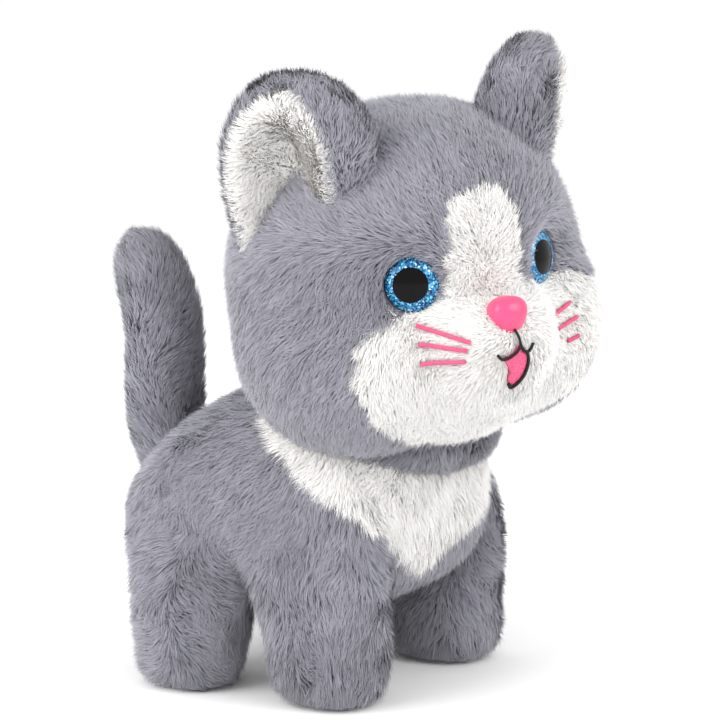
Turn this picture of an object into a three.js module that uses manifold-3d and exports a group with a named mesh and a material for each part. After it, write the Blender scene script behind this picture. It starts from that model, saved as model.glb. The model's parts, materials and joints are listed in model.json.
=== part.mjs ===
// Walking plush kitten: stuffed plush skins over a battery-driven walking chassis.
// Units are millimetres, +Z is up, the kitten faces -Y and its left side is +X.
// It stands in mid stride: both right legs swung back and both left legs forward.
import * as THREE from 'three';
import { mergeVertices } from 'three/addons/utils/BufferGeometryUtils.js';
import Module from 'manifold-3d';

const wasm = await Module();
wasm.setup();

// ---------------------------------------------------------------- driving dimensions
const FRAME_SHIFT = [7.8, 7.5, 0];   // moves the drawing origin to the centre of the base
const GAP = 0.4;                     // air between neighbouring pieces
const PATCH_THICK = 3;               // white plush patches let into the grey plush

const CHASSIS = { halfX: 20, halfY: 36, bottom: 36, top: 82, wall: 1.8 };
const PARTITION = { bottom: 55, top: 57 };
const BATTERY = { radius: 7.25, length: 49.5, x: 8.3, z: 46, yFront: -23.4 };
const BAY_FRONT = -32;
const BAY_REAR = 28;

const HIP_Z = 60;
const HIP_FRONT_Y = -30.5;
const HIP_REAR_Y = 21;
const STRIDE_DEG = 5;                // leg angle from upright in the standing stance
const SWING_DEG = 12;                // largest leg angle from upright
const HIP_PIN_R = 4;
const LEVER_IN = 26.8;
const LEVER_OUT = 30.8;
const ROD_LEVER = 12;                // rod pin height above the hip
const ROD_IN = 22.6;
const ROD_OUT = 24.8;

const GEAR_MODULE = 0.6;
const GEAR_Z = 68;
const PINION_TEETH = 10;
const WHEEL_TEETH = 30;
const CRANK_TEETH = 34;
const CENTRE_SLACK = 0.1;            // extra centre distance of every gear pair
const MOTOR_Y = 22.7;
const CRANK_THROW = ROD_LEVER * Math.sin(THREE.MathUtils.degToRad(SWING_DEG));

const NECK_Y = -28;
const NOD_Z = 112;
const HEAD_FORWARD = 14;             // head centre ahead of the neck axis
const HEAD_Z = 137.9;
const HEAD_YAW = -30;
const HEAD_ROLL = -7.7;
const HEAD_PITCH = 4.2;
const TURN_RANGE = [-5, 60];
const NOD_RANGE = [-8, 4];
const NECK_HOLE_R = 24;

const TAIL_PIVOT_Z = 65;
const TAIL_SWING_DEG = 12;

const EYE = { side: 25.1, ahead: 43.9, up: 11.1, radius: 9, dome: 4.6, shank: 2.2 };
const NOSE = { ahead: 59, up: 0.2, halfWidth: 7, halfHeight: 5.6, shank: 2 };

// ---------------------------------------------------------------- materials
const paint = (color, roughness, metalness = 0) =>
  new THREE.MeshStandardMaterial({ color, roughness, metalness });
const GREY_PLUSH = paint(0x96949e, 0.95);
const WHITE_PLUSH = paint(0xe9e8e4, 0.95);
const LINING_PLUSH = paint(0xdedbd8, 0.95);
const BLUE_EYE = paint(0x2f62b8, 0.15);
const PINK_NOSE = paint(0xe0839b, 0.45);
const WHITE_ABS = paint(0xd9d9d6, 0.45);
const BLACK_ABS = paint(0x1d1e21, 0.5);
const NATURAL_POM = paint(0xece9df, 0.35);
const CORE_PP = paint(0xcfd2d4, 0.5);
const RUBBER = paint(0x2b2b2d, 0.85);
const STEEL = paint(0xb4b6ba, 0.3, 0.9);
const CAN_STEEL = paint(0xa9adb2, 0.35, 0.9);
const CELL_WRAP = paint(0x3c4d46, 0.4);
const BOARD = paint(0x2c6b43, 0.5);

// ---------------------------------------------------------------- solid helpers
function signedVolume(positions, index) {
  const a = new THREE.Vector3();
  const b = new THREE.Vector3();
  const c = new THREE.Vector3();
  let sum = 0;
  for (let i = 0; i < index.length; i += 3) {
    a.fromArray(positions, 3 * index[i]);
    b.fromArray(positions, 3 * index[i + 1]);
    c.fromArray(positions, 3 * index[i + 2]);
    sum += a.dot(b.cross(c));
  }
  return sum / 6;
}

function solid(geometry) {
  const bare = geometry.clone();
  bare.deleteAttribute('normal');
  bare.deleteAttribute('uv');
  const merged = mergeVertices(bare, 1e-4);
  const vertProperties = new Float32Array(merged.attributes.position.array);
  const triVerts = new Uint32Array(merged.index.array);
  if (signedVolume(vertProperties, triVerts) < 0) {
    for (let i = 0; i < triVerts.length; i += 3) {
      [triVerts[i], triVerts[i + 1]] = [triVerts[i + 1], triVerts[i]];
    }
  }
  return new wasm.Manifold(new wasm.Mesh({ numProp: 3, vertProperties, triVerts }));
}

function geometryOf(body) {
  const data = body.getMesh();
  const geometry = new THREE.BufferGeometry();
  geometry.setAttribute('position', new THREE.BufferAttribute(new Float32Array(data.vertProperties), 3));
  geometry.setIndex(new THREE.BufferAttribute(new Uint32Array(data.triVerts), 1));
  return geometry;
}

// Booleans can leave specks; a piece is its largest part.
const largest = (body) => body.decompose().sort((a, b) => b.volume() - a.volume())[0];

const moved = (body, matrix) => body.transform(matrix.elements);
const shifted = (body, x, y, z) => moved(body, new THREE.Matrix4().makeTranslation(x, y, z));

function turnedAbout(body, axis, degrees, [x, y, z]) {
  const turn = new THREE.Matrix4().makeTranslation(x, y, z);
  turn.multiply(new THREE.Matrix4().makeRotationAxis(axis, THREE.MathUtils.degToRad(degrees)));
  turn.multiply(new THREE.Matrix4().makeTranslation(-x, -y, -z));
  return moved(body, turn);
}

const X_AXIS = new THREE.Vector3(1, 0, 0);
const Z_AXIS = new THREE.Vector3(0, 0, 1);

function box(x0, x1, y0, y1, z0, z1) {
  const geometry = new THREE.BoxGeometry(x1 - x0, y1 - y0, z1 - z0);
  geometry.translate((x0 + x1) / 2, (y0 + y1) / 2, (z0 + z1) / 2);
  return solid(geometry);
}

// Cylinders named by the axis they run along, from one end to the other.
function cylinderX(x0, x1, y, z, radius, segments = 16) {
  const geometry = new THREE.CylinderGeometry(radius, radius, x1 - x0, segments);
  geometry.rotateZ(Math.PI / 2);
  geometry.translate((x0 + x1) / 2, y, z);
  return solid(geometry);
}

function cylinderY(x, y0, y1, z, radius, segments = 16) {
  const geometry = new THREE.CylinderGeometry(radius, radius, y1 - y0, segments);
  geometry.translate(x, (y0 + y1) / 2, z);
  return solid(geometry);
}

function cylinderZ(x, y, z0, z1, radius, segments = 16) {
  const geometry = new THREE.CylinderGeometry(radius, radius, z1 - z0, segments);
  geometry.rotateX(Math.PI / 2);
  geometry.translate(x, y, (z0 + z1) / 2);
  return solid(geometry);
}

// Pushes each side of a closed outline outward by the same amount.
function grown(points, amount) {
  const area = points.reduce((sum, [x, z], i) => {
    const [nx, nz] = points[(i + 1) % points.length];
    return sum + x * nz - nx * z;
  }, 0);
  const sign = Math.sign(area) * amount;
  return points.map(([x, z], i) => {
    const [px, pz] = points[(i + points.length - 1) % points.length];
    const [nx, nz] = points[(i + 1) % points.length];
    const a = new THREE.Vector2(z - pz, px - x).normalize();
    const b = new THREE.Vector2(nz - z, x - nx).normalize();
    const mitre = a.clone().add(b).divideScalar(1 + a.dot(b));
    return [x + sign * mitre.x, z + sign * mitre.y];
  });
}

// A closed outline from its +X side, listed from one end on the middle line to the other.
function bothSides(side) {
  return [...side, ...side.slice(1, -1).reverse().map(([x, z]) => [-x, z])];
}

// Extrudes a closed outline drawn in (y, z) along X, or in (x, z) along Y, or in (x, y) along Z.
function outline(points) {
  return new THREE.Shape(points.map(([a, b]) => new THREE.Vector2(a, b)));
}

function extruded(shape, depth) {
  return new THREE.ExtrudeGeometry(shape, { depth, bevelEnabled: false, curveSegments: 7 });
}

function plateX(shape, x0, x1) {
  const geometry = extruded(shape, x1 - x0);
  const cycle = new THREE.Matrix4().set(0, 0, 1, x0, 1, 0, 0, 0, 0, 1, 0, 0, 0, 0, 0, 1);
  geometry.applyMatrix4(cycle);
  return solid(geometry);
}

function plateY(shape, y0, y1) {
  const geometry = extruded(shape, y1 - y0);
  geometry.rotateX(Math.PI / 2);
  geometry.translate(0, y1, 0);
  return solid(geometry);
}

function plateZ(shape, z0, z1) {
  const geometry = extruded(shape, z1 - z0);
  geometry.translate(0, 0, z0);
  return solid(geometry);
}

// Closed skin through rings that all have the same number of points.
function loft(rings) {
  const count = rings[0].length;
  const positions = [];
  const index = [];
  rings.forEach((ring) => ring.forEach((p) => positions.push(...p)));
  for (let r = 0; r + 1 < rings.length; r += 1) {
    for (let i = 0; i < count; i += 1) {
      const a = r * count + i;
      const b = r * count + ((i + 1) % count);
      index.push(a, b, b + count, a, b + count, a + count);
    }
  }
  [0, rings.length - 1].forEach((r) => {
    const centre = [0, 1, 2].map((k) => rings[r].reduce((sum, p) => sum + p[k], 0) / count);
    const hub = positions.length / 3;
    positions.push(...centre);
    for (let i = 0; i < count; i += 1) {
      const a = r * count + i;
      const b = r * count + ((i + 1) % count);
      index.push(...(r === 0 ? [hub, b, a] : [hub, a, b]));
    }
  });
  const geometry = new THREE.BufferGeometry();
  geometry.setAttribute('position', new THREE.Float32BufferAttribute(positions, 3));
  geometry.setIndex(index);
  return solid(geometry);
}

// Closed skin round a centre, with the distance to the skin given for each direction.
function starShape(reach, centre, turns = 28, bands = 16) {
  const positions = [];
  const index = [];
  const point = (polar, around) => {
    const u = new THREE.Vector3(
      Math.sin(polar) * Math.cos(around), Math.sin(polar) * Math.sin(around), Math.cos(polar));
    u.multiplyScalar(reach(u)).add(centre);
    positions.push(u.x, u.y, u.z);
  };
  point(0, 0);
  for (let b = 1; b < bands; b += 1) {
    for (let t = 0; t < turns; t += 1) point((Math.PI * b) / bands, (2 * Math.PI * t) / turns);
  }
  point(Math.PI, 0);
  const last = positions.length / 3 - 1;
  for (let t = 0; t < turns; t += 1) {
    const next = (t + 1) % turns;
    index.push(0, 1 + t, 1 + next);
    index.push(last, last - turns + next, last - turns + t);
    for (let b = 0; b + 2 < bands; b += 1) {
      const a = 1 + b * turns;
      index.push(a + t, a + turns + t, a + turns + next, a + t, a + turns + next, a + next);
    }
  }
  const geometry = new THREE.BufferGeometry();
  geometry.setAttribute('position', new THREE.Float32BufferAttribute(positions, 3));
  geometry.setIndex(index);
  return solid(geometry);
}

const group = new THREE.Group();
group.name = 'walking_plush_kitten';

function add(name, body, material) {
  const geometry = geometryOf(shifted(body, ...FRAME_SHIFT));
  geometry.computeVertexNormals();
  const mesh = new THREE.Mesh(geometry, material);
  mesh.name = name;
  group.add(mesh);
}

// ---------------------------------------------------------------- head placement
// Head pieces are drawn with the head centre at the origin, facing -Y, then placed.
const headTurn = new THREE.Matrix4()
  .makeRotationZ(THREE.MathUtils.degToRad(HEAD_YAW))
  .multiply(new THREE.Matrix4().makeRotationY(THREE.MathUtils.degToRad(HEAD_ROLL)))
  .multiply(new THREE.Matrix4().makeRotationX(THREE.MathUtils.degToRad(HEAD_PITCH)));
const facing = new THREE.Vector3(0, -1, 0).applyAxisAngle(Z_AXIS, THREE.MathUtils.degToRad(HEAD_YAW));
const nodAxis = new THREE.Vector3(1, 0, 0).applyAxisAngle(Z_AXIS, THREE.MathUtils.degToRad(HEAD_YAW));
const headCentre = new THREE.Vector3(0, NECK_Y, HEAD_Z).addScaledVector(facing, HEAD_FORWARD);
const headPlace = headTurn.clone().setPosition(headCentre);
const nodPivot = new THREE.Vector3(0, NECK_Y, NOD_Z);

// Overlapping lobes whose blended outside is the stuffed head.
const HEAD_LOBES = [
  { centre: [0, 1, 6], radii: [60, 52, 54] },
  { centre: [-28, -8, -17], radii: [34, 37, 31] },
  { centre: [28, -8, -17], radii: [34, 37, 31] },
  { centre: [0, -33, -13], radii: [26, 27, 19] },
  { centre: [0, -20, -27], radii: [30, 28, 23] },
  { centre: [0, -13, 24], radii: [43, 39, 33] },
];
const LOBE_BLEND = 16;

function lobeReach(direction, lobe) {
  const r = lobe.radii;
  const c = lobe.centre;
  const d = direction.toArray();
  let a = 0;
  let b = 0;
  let k = -1;
  for (let i = 0; i < 3; i += 1) {
    a += (d[i] / r[i]) ** 2;
    b += (d[i] * c[i]) / r[i] ** 2;
    k += (c[i] / r[i]) ** 2;
  }
  const root = b * b - a * k;
  return root > 0 ? Math.max(0, (b + Math.sqrt(root)) / a) : 0;
}

function headReach(direction) {
  let sum = 0;
  HEAD_LOBES.forEach((lobe) => { sum += lobeReach(direction, lobe) ** LOBE_BLEND; });
  return sum ** (1 / LOBE_BLEND);
}

const ORIGIN = new THREE.Vector3();
const headWith = (extra, turns, bands) => starShape((u) => headReach(u) + extra, ORIGIN, turns, bands);

// Everything the head passes through as it turns and nods, seen from the nod pivot.
function headSweep() {
  const poses = [];
  for (let step = 0; step <= 5; step += 1) {
    const turn = TURN_RANGE[0] + ((TURN_RANGE[1] - TURN_RANGE[0]) * step) / 5;
    [NOD_RANGE[0], 0, NOD_RANGE[1]].forEach((nod) => {
      const pose = new THREE.Matrix4().makeRotationAxis(Z_AXIS, THREE.MathUtils.degToRad(turn));
      pose.multiply(new THREE.Matrix4().makeRotationAxis(nodAxis, THREE.MathUtils.degToRad(nod)));
      const start = headCentre.clone().sub(nodPivot).applyMatrix4(pose);
      const back = pose.clone().multiply(headTurn).transpose();
      poses.push({ start, back });
    });
  }
  const probe = new THREE.Vector3();
  const outside = (u, distance, { start, back }) => {
    probe.copy(u).multiplyScalar(distance).sub(start).applyMatrix4(back);
    const length = probe.length();
    return length - headReach(probe.divideScalar(length || 1));
  };
  return starShape((u) => {
    let reach = 20;
    poses.forEach((pose) => {
      let distance = 120;
      while (distance > reach && outside(u, distance, pose) > 0) distance -= 2;
      reach = Math.max(reach, distance);
    });
    return reach + 4.5;
  }, nodPivot, 18, 10);
}

// ---------------------------------------------------------------- torso
// Sections along the spine: y, half width, bottom and top.
const TORSO_SECTIONS = [
  { y: -57, half: 4, bottom: 58, top: 66 },
  { y: -55, half: 18, bottom: 48, top: 78 },
  { y: -49, half: 34, bottom: 38, top: 90 },
  { y: -39, half: 45, bottom: 31.5, top: 100 },
  { y: -22, half: 51, bottom: 28, top: 106 },
  { y: -2, half: 53, bottom: 27, top: 105 },
  { y: 18, half: 55, bottom: 27, top: 99 },
  { y: 34, half: 54, bottom: 28.5, top: 91 },
  { y: 46, half: 47, bottom: 33, top: 80 },
  { y: 55, half: 33, bottom: 41, top: 71 },
  { y: 58.5, half: 14, bottom: 50, top: 61 },
  { y: 59.5, half: 3, bottom: 54, top: 57 },
];
const TORSO_POWER = 2.3;
const TORSO_REACH = 58;

function torsoRing({ y, half, bottom, top }, inset, count) {
  const ring = [];
  const centre = (bottom + top) / 2;
  for (let i = 0; i < count; i += 1) {
    const angle = (2 * Math.PI * i) / count;
    const c = Math.cos(angle);
    const s = Math.sin(angle);
    const across = Math.sign(c) * Math.abs(c) ** (2 / TORSO_POWER) * Math.max(1, half - inset);
    const up = Math.sign(s) * Math.abs(s) ** (2 / TORSO_POWER) * Math.max(1, (top - bottom) / 2 - inset);
    ring.push([across, y, centre + up]);
  }
  return ring;
}

function torsoBody(inset) {
  const rings = TORSO_SECTIONS.map((section) => torsoRing(section, inset, 20));
  const scale = 1 - inset / TORSO_REACH;
  rings.forEach((ring) => ring.forEach((p) => { p[1] *= scale; }));
  return loft(rings);
}

// Fan that clears a leg or the tail: a round root with a swinging straight-sided limb.
function fanOutline([a, b], rootR, endR, length, swingDeg, downward) {
  const points = [];
  const sign = downward ? -1 : 1;
  const swing = THREE.MathUtils.degToRad(swingDeg);
  const lean = Math.asin((rootR - endR) / length);
  const arc = (from, to, steps, radius, ca, cb) => {
    for (let i = 0; i <= steps; i += 1) {
      const t = from + ((to - from) * i) / steps;
      points.push([ca + radius * Math.sin(t), cb + sign * radius * Math.cos(t)]);
    }
  };
  const half = Math.PI / 2 - lean;
  arc(swing + half, 2 * Math.PI - swing - half, 12, rootR, a, b);
  arc(-swing - half, -swing, 3, endR, a - length * Math.sin(swing), b + sign * length * Math.cos(swing));
  arc(swing, swing + half, 3, endR, a + length * Math.sin(swing), b + sign * length * Math.cos(swing));
  return outline(points);
}

// ---------------------------------------------------------------- legs
// Every leg is drawn upright on the right side (-X side mirrored for the left) and then swung.
const LEGS = [
  { name: 'front_right', side: -1, hipY: HIP_FRONT_Y, footX: 33, hipOut: 50, rear: false },
  { name: 'front_left', side: 1, hipY: HIP_FRONT_Y, footX: 33, hipOut: 50, rear: false },
  { name: 'rear_right', side: -1, hipY: HIP_REAR_Y, footX: 39, hipOut: 55, rear: true },
  { name: 'rear_left', side: 1, hipY: HIP_REAR_Y, footX: 39, hipOut: 55, rear: true },
];
const FOOT_R = 18.5;
const HIP_DISC_R = 21;
const LEG_POINTS = 14;

// Sections of the stuffed leg from the paw up: height, inner and outer side, fore-aft half length.
function legSections(leg) {
  const inFoot = leg.footX - FOOT_R + 2;
  const outFoot = leg.footX + FOOT_R;
  return [
    { z: 1.2, inner: inFoot + 5, outer: outFoot - 6, half: 13.5 },
    { z: 4.5, inner: inFoot + 1.2, outer: outFoot - 2, half: 17.2 },
    { z: 10, inner: inFoot, outer: outFoot, half: FOOT_R },
    { z: 20, inner: Math.max(inFoot, 18), outer: outFoot, half: FOOT_R },
    { z: 29, inner: 23, outer: outFoot - 0.5, half: FOOT_R + 0.8 },
    { z: 40, inner: 29, outer: leg.hipOut + 0.5, half: 19.8 },
    { z: 50, inner: 34.5, outer: leg.hipOut, half: 20.6 },
    { z: 60, inner: 35, outer: leg.hipOut - 0.5, half: HIP_DISC_R },
    { z: 70, inner: 35.5, outer: leg.hipOut - 2, half: 18.2 },
    { z: 77, inner: 36.5, outer: leg.hipOut - 4, half: 12 },
    { z: 80.5, inner: 38, outer: leg.hipOut - 6, half: 5 },
  ];
}

function legPlush(leg) {
  const rings = legSections(leg).map(({ z, inner, outer, half }) => {
    const ring = [];
    for (let i = 0; i < LEG_POINTS; i += 1) {
      const angle = (2 * Math.PI * i) / LEG_POINTS;
      const c = Math.cos(angle);
      const s = Math.sin(angle);
      const x = (inner + outer) / 2 + Math.sign(c) * Math.abs(c) ** 0.9 * ((outer - inner) / 2);
      ring.push([leg.side * x, leg.hipY + Math.sign(s) * Math.abs(s) ** 0.9 * half, z]);
    }
    return ring;
  });
  return loft(rings);
}

// Sole underside is a run of flats, each as far below the hip as the hip is above the floor.
const SOLE_HALF_X = 11;
const SOLE_FLATS = [-10, -5, 0, 5, 10];

function soleOutline(hipY, top) {
  const edge = THREE.MathUtils.degToRad(2.5);
  const corner = HIP_Z / Math.cos(edge);
  const angles = [SOLE_FLATS[0] - 2.5, ...SOLE_FLATS.map((a) => a + 2.5)];
  const points = angles.map((a) => {
    const t = THREE.MathUtils.degToRad(a);
    return [hipY + corner * Math.sin(t), HIP_Z - corner * Math.cos(t)];
  });
  const [lastY] = points[points.length - 1];
  const [firstY] = points[0];
  points.push([lastY, top], [firstY, top]);
  return outline(points);
}

function legLever(leg) {
  const y = leg.hipY;
  const pinZ = HIP_Z + ROD_LEVER;
  const arm = outline([
    [y - 6, HIP_Z], [y - 5, 9], [y + 5, 9], [y + 6, HIP_Z], [y + 3.2, pinZ + 2.6], [y - 3.2, pinZ + 2.6],
  ]);
  let lever = plateX(arm, LEVER_IN, LEVER_OUT);
  lever = lever.add(cylinderX(LEVER_IN, LEVER_OUT, y, HIP_Z, 8, 14));
  lever = lever.add(cylinderX(ROD_IN - 0.6, LEVER_IN + 1, y, pinZ, 1.6, 12));
  lever = lever.add(box(LEVER_IN, leg.footX + 7, y - 9, y + 9, 6.2, 9));
  lever = lever.subtract(cylinderX(LEVER_IN - 1, LEVER_OUT + 1, y, HIP_Z, HIP_PIN_R + 0.12, 14));
  return lever;
}

function legLeverRoom(leg) {
  const y = leg.hipY;
  const arm = outline([
    [y - 6 - GAP, 50], [y - 5 - GAP, 5.8], [y + 5 + GAP, 5.8], [y + 6 + GAP, 50],
  ]);
  let room = plateX(arm, 18, LEVER_OUT + GAP);
  room = room.subtract(box(17, LEVER_IN - GAP, y - 20, y + 20, 0, 60));
  room = room.add(box(LEVER_IN - GAP, leg.footX + 7 + GAP, y - 9 - GAP, y + 9 + GAP, 5.8, 9 + GAP));
  return room.add(box(leg.footX - SOLE_HALF_X - GAP, leg.footX + SOLE_HALF_X + GAP, y - 14, y + 14, -5, 6));
}

const mirrorIfRight = (body, side) => (side < 0
  ? moved(body, new THREE.Matrix4().makeScale(-1, 1, 1)) : body);
const stance = (body, leg) => turnedAbout(body, X_AXIS, -leg.side * STRIDE_DEG, [0, leg.hipY, HIP_Z]);

LEGS.forEach((leg) => {
  const room = mirrorIfRight(legLeverRoom(leg), leg.side);
  const sole = plateX(soleOutline(leg.hipY, 5.8), leg.footX - SOLE_HALF_X, leg.footX + SOLE_HALF_X);
  add(`leg_${leg.name}_plush`, stance(legPlush(leg).subtract(room), leg), GREY_PLUSH);
  add(`leg_${leg.name}_lever`, stance(mirrorIfRight(legLever(leg), leg.side), leg), BLACK_ABS);
  add(`leg_${leg.name}_sole`, stance(mirrorIfRight(sole, leg.side), leg), RUBBER);
});

// ---------------------------------------------------------------- gear train
// Stub involute teeth, thinned for running backlash; the first tooth points along +Y.
function gearOutline(teeth, boreR, phaseDeg = 0) {
  const pitchR = (GEAR_MODULE * teeth) / 2;
  const tipR = pitchR + 0.8 * GEAR_MODULE;
  const rootR = pitchR - 1.15 * GEAR_MODULE;
  const baseR = pitchR * Math.cos(THREE.MathUtils.degToRad(20));
  const involute = (r) => {
    const t = Math.sqrt(Math.max(0, (r / baseR) ** 2 - 1));
    return t - Math.atan(t);
  };
  const thin = 0.13;
  const halfAt = (r) => Math.PI / (2 * teeth) - thin / pitchR
    + involute(pitchR) - involute(Math.max(r, baseR));
  const points = [];
  for (let i = 0; i < teeth; i += 1) {
    const middle = (2 * Math.PI * i) / teeth + THREE.MathUtils.degToRad(phaseDeg);
    [[rootR, -1], [tipR, -1], [tipR, 1], [rootR, 1]].forEach(([r, sign]) => {
      const angle = middle + sign * halfAt(r);
      points.push([r * Math.cos(angle), r * Math.sin(angle)]);
    });
  }
  const shape = outline(points);
  if (boreR > 0) shape.holes.push(new THREE.Path().absarc(0, 0, boreR, 0, 2 * Math.PI, true));
  return shape;
}

const gearAt = (teeth, boreR, phaseDeg, x0, x1, y) =>
  shifted(plateX(gearOutline(teeth, boreR, phaseDeg), x0, x1), 0, y, GEAR_Z);
const centreDistance = (a, b) => (GEAR_MODULE * (a + b)) / 2 + CENTRE_SLACK;
const IDLER_1_Y = MOTOR_Y - centreDistance(PINION_TEETH, WHEEL_TEETH);
const IDLER_2_Y = IDLER_1_Y - centreDistance(PINION_TEETH, WHEEL_TEETH);
const CRANK_Y = IDLER_2_Y - centreDistance(PINION_TEETH, CRANK_TEETH);
const PLANE_A = [13.6, 16.6];
const PLANE_B = [9.8, 12.8];
const PLANE_C = [5.9, 8.9];
const halfTooth = (teeth) => 180 / teeth;

// The pinion of a pair lies on the +Y side: its space faces the wheel's tooth at +Y.
const PINION_PHASE = halfTooth(PINION_TEETH) * (PINION_TEETH % 2 ? 0 : 1);
add('motor_pinion', gearAt(PINION_TEETH, 1.05, PINION_PHASE, ...PLANE_A, MOTOR_Y), NATURAL_POM);

function idler(y, wheelPlane, pinionPlane, stubFrom, stubTo) {
  const wheel = gearAt(WHEEL_TEETH, 0, 0, ...wheelPlane, y);
  const pinion = gearAt(PINION_TEETH, 0, PINION_PHASE, ...pinionPlane, y);
  const stub = cylinderX(stubFrom, stubTo, y, GEAR_Z, 1.2, 12);
  const web = cylinderX(Math.min(wheelPlane[0], pinionPlane[0]), Math.max(wheelPlane[1], pinionPlane[1]),
    y, GEAR_Z, 2.1, 12);
  return wheel.add(pinion).add(stub).add(web);
}
add('idler_gear_1', idler(IDLER_1_Y, PLANE_A, PLANE_B, 3, 19), NATURAL_POM);
add('idler_gear_2', idler(IDLER_2_Y, PLANE_B, PLANE_C, 3, 19), NATURAL_POM);

const AXLE_R = 2;
const AXLE_END = 21.9;
let crankAxle = cylinderX(-AXLE_END, AXLE_END, CRANK_Y, GEAR_Z, AXLE_R, 12);
crankAxle = crankAxle.add(gearAt(CRANK_TEETH, 0, 0, ...PLANE_C, CRANK_Y));
crankAxle = crankAxle.add(cylinderX(4.7, 10, CRANK_Y, GEAR_Z, 3.4, 16));
add('crank_gear', crankAxle, NATURAL_POM);

// Crank discs outside the chassis, their pins half a turn apart.
const rodShift = ROD_LEVER * Math.sin(THREE.MathUtils.degToRad(STRIDE_DEG));
const pinRise = Math.sqrt(CRANK_THROW ** 2 - rodShift ** 2);
[-1, 1].forEach((side) => {
  const near = 20.4;
  const pinY = CRANK_Y + side * rodShift;
  const disc = cylinderX(near, 21.5, CRANK_Y, GEAR_Z, 5.2, 24);
  const pin = cylinderX(21.2, 22.2, pinY, GEAR_Z + side * pinRise, 0.9, 12);
  const bore = cylinderX(near - 1, 30, CRANK_Y, GEAR_Z, AXLE_R + 0.05, 12);
  const body = disc.add(pin).subtract(bore);
  add(`crank_disc_${side < 0 ? 'right' : 'left'}`, mirrorIfRight(body, side), BLACK_ABS);
});

// ---------------------------------------------------------------- side rods
[-1, 1].forEach((side) => {
  const shift = side * rodShift;
  const pinZ = HIP_Z + ROD_LEVER * Math.cos(THREE.MathUtils.degToRad(STRIDE_DEG));
  const front = HIP_FRONT_Y + shift;
  const rear = HIP_REAR_Y + shift;
  const slotY = CRANK_Y + shift;
  const bar = outline([
    [front - 3.6, pinZ - 2], [front - 2, pinZ - 3.6], [slotY - 5, pinZ - 3.6], [slotY - 4, GEAR_Z - 6.5],
    [slotY + 4, GEAR_Z - 6.5], [slotY + 5, pinZ - 3.6], [rear + 2, pinZ - 3.6], [rear + 3.6, pinZ - 2],
    [rear + 3.6, pinZ + 2], [rear + 2, pinZ + 3.6], [front - 2, pinZ + 3.6], [front - 3.6, pinZ + 2],
  ]);
  [front, rear].forEach((y) => bar.holes.push(new THREE.Path().absarc(y, pinZ, 1.75, 0, 2 * Math.PI, true)));
  const slot = new THREE.Path();
  slot.absarc(slotY, GEAR_Z + CRANK_THROW, 1.1, 0, Math.PI, false);
  slot.absarc(slotY, GEAR_Z - CRANK_THROW, 1.1, Math.PI, 2 * Math.PI, false);
  bar.holes.push(slot);
  const rod = plateX(bar, ROD_IN, ROD_OUT);
  add(`side_rod_${side < 0 ? 'right' : 'left'}`, mirrorIfRight(rod, side), WHITE_ABS);
});

// ---------------------------------------------------------------- motor, gear plate and electrics
const motorShape = new THREE.Shape();
motorShape.absarc(0, 0, 10, THREE.MathUtils.degToRad(-50), THREE.MathUtils.degToRad(50), false);
motorShape.absarc(0, 0, 10, THREE.MathUtils.degToRad(130), THREE.MathUtils.degToRad(230), false);
let motor = shifted(plateX(motorShape, -17.6, 7.4), 0, MOTOR_Y, GEAR_Z);
motor = motor.add(cylinderX(7, 8.9, MOTOR_Y, GEAR_Z, 3, 16));
motor = motor.add(cylinderX(8.5, 17.2, MOTOR_Y, GEAR_Z, 1, 12));
add('motor', motor, CAN_STEEL);

const PLATE = { x0: 2.6, x1: 4.4, front: -32.5, rear: 12.1, bottom: 60, top: 76 };
const POST_Y = -29.5;
let gearPlate = box(PLATE.x0, PLATE.x1, PLATE.front, PLATE.rear, PLATE.bottom, PLATE.top);
[62.5, 73.5].forEach((z) => {
  gearPlate = gearPlate.add(cylinderX(PLATE.x1 - 0.5, 17.9, POST_Y, z, 1.8, 12));
});
[[IDLER_1_Y, 1.35], [IDLER_2_Y, 1.35], [CRANK_Y, AXLE_R + 0.15]].forEach(([y, radius]) => {
  gearPlate = gearPlate.subtract(cylinderX(PLATE.x0 - 1, PLATE.x1 + 1, y, GEAR_Z, radius, 14));
});
add('gear_plate', gearPlate, WHITE_ABS);

add('sound_board', box(-17.6, 2, -33.5, 9, 57.3, 58.9), BOARD);
let speaker = cylinderX(-17.7, -15.4, -0.5, 69.2, 9, 18);
speaker = speaker.add(cylinderX(-15.6, -12.6, -0.5, 69.2, 5, 14));
add('speaker', speaker, BLACK_ABS);

[-1, 1].forEach((side) => {
  const word = side < 0 ? 'right' : 'left';
  const front = BATTERY.yFront;
  const rear = front + BATTERY.length;
  const nub = 1;
  const start = side < 0 ? front + nub : front;
  const end = side < 0 ? rear : rear - nub;
  let cell = cylinderY(side * BATTERY.x, start, end, BATTERY.z, BATTERY.radius, 18);
  cell = cell.add(cylinderY(side * BATTERY.x, front, rear, BATTERY.z, 2.6, 12));
  add(`battery_${word}`, cell, CELL_WRAP);
});

const CONTACT_Y = BAY_FRONT + 0.3;
class CoilCurve extends THREE.Curve {
  constructor(x, turns) {
    super();
    this.x = x;
    this.turns = turns;
  }
  getPoint(t, target = new THREE.Vector3()) {
    const angle = 2 * Math.PI * this.turns * t;
    const radius = 4.2 - 1.6 * t;
    const y = CONTACT_Y + 0.3 + t * (BATTERY.yFront - 1 - CONTACT_Y);
    return target.set(this.x + radius * Math.cos(angle), y, BATTERY.z + radius * Math.sin(angle));
  }
}
[-1, 1].forEach((side) => {
  const wire = new THREE.Shape().absarc(0, 0, 0.4, 0, 2 * Math.PI, false);
  const coil = new THREE.ExtrudeGeometry(wire, {
    steps: 27, curveSegments: 2, bevelEnabled: false, extrudePath: new CoilCurve(side * BATTERY.x, 3),
  });
  const plate = box(side * BATTERY.x - 5, side * BATTERY.x + 5, CONTACT_Y, CONTACT_Y + 0.5, 41, 51);
  add(`contact_spring_${side < 0 ? 'right' : 'left'}`, plate.add(solid(coil)), STEEL);
});
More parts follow.
